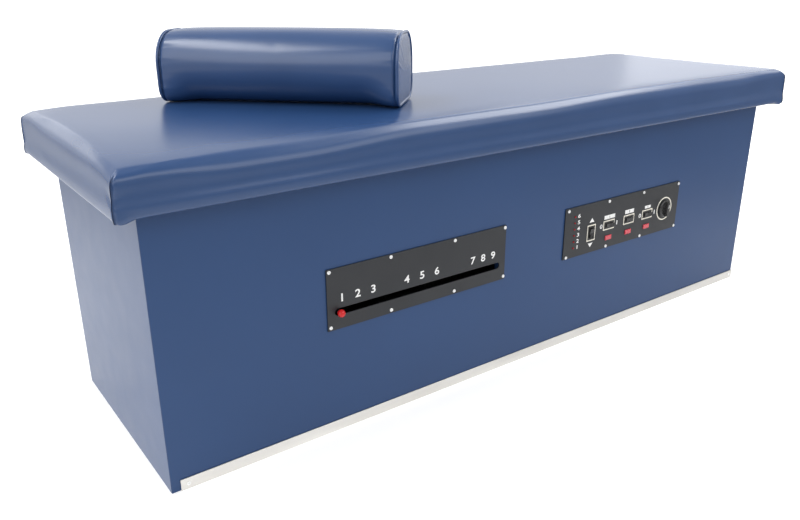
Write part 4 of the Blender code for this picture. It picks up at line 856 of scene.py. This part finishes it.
def flat_print(place, size):
    """A rectangle that faces the front, its middle at the place."""
    start_clean()
    bpy.ops.mesh.primitive_plane_add(size=1, location=place, rotation=(math.pi / 2, 0, 0))
    flat = bpy.context.object
    flat.scale = (*size, 1)
    bpy.ops.object.transform_apply(location=True, rotation=True, scale=True)
    return flat


def hollowed(outline, line):
    """Leaves only a line of the flat print, round its edge."""
    pick(outline, "FACE", lambda middle, way: True)
    bpy.ops.mesh.inset(thickness=line)
    bpy.ops.mesh.delete(type="FACE")
    bpy.ops.object.mode_set(mode="OBJECT")


def inked(flat, name, colour, body):
    """Gives the flat print the thickness of its ink, and lets it ride on its body."""
    harden(flat, "SOLIDIFY", thickness=ink_thick, offset=1.0)
    return settle(flat, name, colour, body, 30)


def print_frame(low, high, line, name):
    """Prints a rectangle's outline on the plate, from its low to its high corner in x and z."""
    middle = ((low[0] + high[0]) / 2, plate_face, (low[1] + high[1]) / 2)
    outline = flat_print(middle, (high[0] - low[0], high[1] - low[1]))
    hollowed(outline, line)
    return inked(outline, name, cream_ink, "cabinet")


def print_bar(x, z, width, height, name, point=0):
    """Prints a solid bar on the plate, or an arrow that points up or down."""
    bar = flat_print((x, plate_face, z), (width, height))
    if point:
        pick(bar, "VERT", lambda middle, way: (middle.z - z) * point > 0)
        bpy.ops.mesh.merge(type="CENTER")
        bpy.ops.object.mode_set(mode="OBJECT")
    return inked(bar, name, ink, "cabinet")


level_x, level_drop, level_height = 1.1395, 0.0052, 0.0105
for count in range(1, 7):
    led_low, led_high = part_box("level_led_%d" % count)
    level_foot = (led_low.z + led_high.z) / 2 - level_drop
    print_figure(str(count), head_x + level_x, level_foot, level_height, "level_figure_%d" % count, broad=1.5)

frame_line, frame_gap = 0.0034, 0.0009
row_low, row_high, lift_low = 0.3010, 0.3265, 0.2825
for name, x0, x1, z0 in (
    ("lift", 1.1765, 1.2075, lift_low),
    ("mode", 1.2410, 1.2850, row_low),
    ("start", 1.3260, 1.3700, row_low),
    ("aux", 1.4070, 1.4510, row_low),
):
    print_frame((head_x + x0 - frame_gap, z0 - frame_gap), (head_x + x1 + frame_gap, row_high + frame_gap),
                frame_line, name + "_frame")
arrow_x, arrow_size, raise_z, lower_z = 1.1917, (0.0190, 0.0120), 0.3405, 0.2695
print_bar(head_x + arrow_x, raise_z, *arrow_size, "raise_arrow", 1)
print_bar(head_x + arrow_x, lower_z, *arrow_size, "lower_arrow", -1)
mode_x, start_x, aux_x = 1.2643, 1.3483, 1.4294
label_foot = 0.3312
for name, number, x, width, height in (
    ("mode", "1", mode_x, 0.044, 0.0110),
    ("start", "2", start_x, 0.038, 0.0110),
    ("aux", "3", aux_x, 0.026, 0.0080),
):
    print_bar(head_x + x, label_foot + height / 2, width, height, name + "_label")
    print_figure(number, head_x + x, label_foot + 0.2 * height, 0.6 * height, name + "_figure", charcoal, 1)
mark_off, mark_foot, mark_height = 0.0325, 0.3080, 0.0120
for name, x in (("mode", mode_x), ("aux", aux_x)):
    print_figure("0", head_x + x - mark_off, mark_foot, mark_height, name + "_off", broad=1.3)
    print_figure("1", head_x + x + mark_off, mark_foot, mark_height, name + "_on", broad=1.6)

timer_low, timer_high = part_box("timer_knob")
timer = (timer_low + timer_high) / 2
ring_radius, ring_line = 0.0345, 0.0036
start_clean()
bpy.ops.mesh.primitive_circle_add(vertices=72, radius=ring_radius, fill_type="NGON",
                                  location=(timer.x, plate_face, timer.z), rotation=(math.pi / 2, 0, 0))
timer_ring = bpy.context.object
bpy.ops.object.transform_apply(location=True, rotation=True, scale=True)
hollowed(timer_ring, ring_line)
inked(timer_ring, "timer_ring", cream_ink, "cabinet")
grip_mark_size, grip_mark_rise = (0.0030, 0.0090), 0.0085
grip_mark = flat_print((timer.x, timer_low.y, timer.z + grip_mark_rise), grip_mark_size)
pick(grip_mark, "VERT", lambda middle, way: middle.z > timer.z + grip_mark_rise)
bpy.ops.transform.resize(value=(0.5, 1, 1), center_override=(timer.x, timer_low.y, timer.z))
bpy.ops.object.mode_set(mode="OBJECT")
inked(grip_mark, "timer_mark", ink, "timer_knob")


# The switches, the push button and the timer are black moulded plastic, satin from the mould, and
# snap into the control plate from the front. The rockers are a little glossier from fingers.
black = finish("black_plastic", (0.018, 0.018, 0.019), 0.40)
gloss(black, pattern(black, "Noise", 0.006, Detail=4.0), 0.34, 0.46)
mottle(black, 0.015, (0.015, 0.015, 0.016), (0.022, 0.022, 0.023), 3.0)
relief(black, pattern(black, "Noise", 0.0006, Detail=2.0), 0.00002)
dress(black, "lift_switch_body", "mode_switch_body", "start_button_body", "aux_switch_body", "timer_body")
handled = finish("black_plastic_handled", (0.026, 0.026, 0.027), 0.26)
gloss(handled, pattern(handled, "Noise", 0.005, Detail=4.0), 0.20, 0.34)
mottle(handled, 0.012, (0.022, 0.022, 0.023), (0.032, 0.032, 0.033), 3.0)
relief(handled, pattern(handled, "Noise", 0.0008, Detail=2.0), 0.00001)
dress(handled, "lift_switch_rocker", "mode_switch_rocker", "aux_switch_rocker", "start_button", "timer_knob")


# The lamps and the level lights are clear red plastic, moulded in one piece each and pushed into the plate
# from the front. The lamps are ribbed inside to spread their glow.
red = finish("red_lens", (0.66, 0.045, 0.070), 0.18)
red.node_tree.nodes["Principled BSDF"].inputs["Coat Weight"].default_value = 0.4
ribs = pattern(red, "Wave", 0.0075, (1.0, 0.0, 0.0))
shades(red, ribs, (0.2, (0.58, 0.034, 0.055)), (0.8, (0.76, 0.060, 0.090)))
relief(red, ribs, 0.0001)
dress(red, "indicator_lamp_1", "indicator_lamp_2", "indicator_lamp_3")
diode = finish("red_diode", (0.34, 0.008, 0.014), 0.15)
mottle(diode, 0.002, (0.30, 0.006, 0.011), (0.40, 0.010, 0.018), 2.0)
dress(diode, *["level_led_%d" % count for count in range(1, 7)])


# The control box behind the plate, the carriage's frame and the drive's brackets are folded zinc-plated
# sheet. The inlet is moulded black plastic, set in a hole in the back panel.
zinc = finish("zinc_plate", (0.56, 0.57, 0.58), 0.40, 1.0)
spangle = pattern(zinc, "Voronoi", 0.012, out="Color")
grey = zinc.node_tree.nodes.new("ShaderNodeRGBToBW")
zinc.node_tree.links.new(spangle, grey.inputs["Color"])
shades(zinc, grey.outputs["Val"], (0.2, (0.50, 0.51, 0.52)), (0.8, (0.62, 0.63, 0.64)))
gloss(zinc, grey.outputs["Val"], 0.34, 0.46)
dress(zinc, "control_box", "rail_support_head", "rail_support_foot", "carriage_plate", "roller_yoke",
      "drive_arm", "belt_clamp", "idler_bracket")
dress(black, "power_inlet")


# The rails, the axle, the lift's posts and the pointer's rod are ground steel bar. The pointer's rod comes
# through the front slot and ends in a red plastic ball, which shows where the rollers are.
steel = finish("ground_steel", (0.62, 0.63, 0.64), 0.22, 1.0)
turning = pattern(steel, "Noise", 0.0012, (0.05, 1.0, 1.0), Detail=3.0)
gloss(steel, turning, 0.17, 0.30)
mottle(steel, 0.03, (0.57, 0.58, 0.59), (0.66, 0.67, 0.68))
relief(steel, turning, 0.000008)
dress(steel, "rail_front", "rail_back", "pointer_rod", "roller_axle", "guide_post_head", "guide_post_foot",
      "lift_rod")
ball_red = finish("red_ball_plastic", (0.66, 0.012, 0.014), 0.16)
mottle(ball_red, 0.008, (0.62, 0.010, 0.012), (0.70, 0.016, 0.018), 3.0)
gloss(ball_red, pattern(ball_red, "Noise", 0.003, Detail=3.0), 0.12, 0.22)
dress(ball_red, "pointer_knob")


# The slide blocks and pulleys are turned aluminium, with the marks of the tool left on. The gearbox and
# the lift's housing are cast in sand, so their skin is rough.
alloy = finish("machined_alloy", (0.66, 0.67, 0.68), 0.35, 1.0)
cuts = pattern(alloy, "Noise", 0.0014, (1.0, 0.06, 1.0), Detail=3.0)
gloss(alloy, cuts, 0.28, 0.42)
mottle(alloy, 0.02, (0.60, 0.61, 0.62), (0.71, 0.72, 0.73))
relief(alloy, cuts, 0.00001)
dress(alloy, "slide_block_front", "slide_block_back", "drive_pulley", "idler_pulley")
casting = finish("cast_housing", (0.30, 0.31, 0.32), 0.52, 0.8)
mottle(casting, 0.02, (0.26, 0.27, 0.28), (0.34, 0.35, 0.36))
relief(casting, pattern(casting, "Noise", 0.0022, Detail=4.0), 0.0002)
dress(casting, "gearbox", "lift_actuator")


# The rollers are dense brown rubber, and turn freely on the axle. The belt is black rubber with teeth
# across it, and the motor's case is enamelled black.
tread = finish("roller_rubber", (0.095, 0.080, 0.066), 0.66)
mottle(tread, 0.012, (0.080, 0.066, 0.054), (0.110, 0.094, 0.078), 5.0)
relief(tread, pattern(tread, "Noise", 0.0010, Detail=3.0), 0.00006)
dress(tread, "roller_front", "roller_back")
belting = finish("belt_rubber", (0.020, 0.020, 0.021), 0.78)
teeth = pattern(belting, "Wave", 0.016, (1.0, 0.0, 0.0))
shades(belting, teeth, (0.3, (0.016, 0.016, 0.017)), (0.7, (0.026, 0.026, 0.027)))
relief(belting, teeth, 0.0003)
dress(belting, "drive_belt")
enamel = finish("motor_enamel", (0.035, 0.037, 0.040), 0.38)
gloss(enamel, pattern(enamel, "Noise", 0.02, Detail=4.0), 0.30, 0.46)
mottle(enamel, 0.04, (0.030, 0.032, 0.035), (0.042, 0.044, 0.047))
relief(enamel, pattern(enamel, "Noise", 0.0030, Detail=2.0), 0.00004)
dress(enamel, "drive_motor")


bpy.context.view_layer.update()
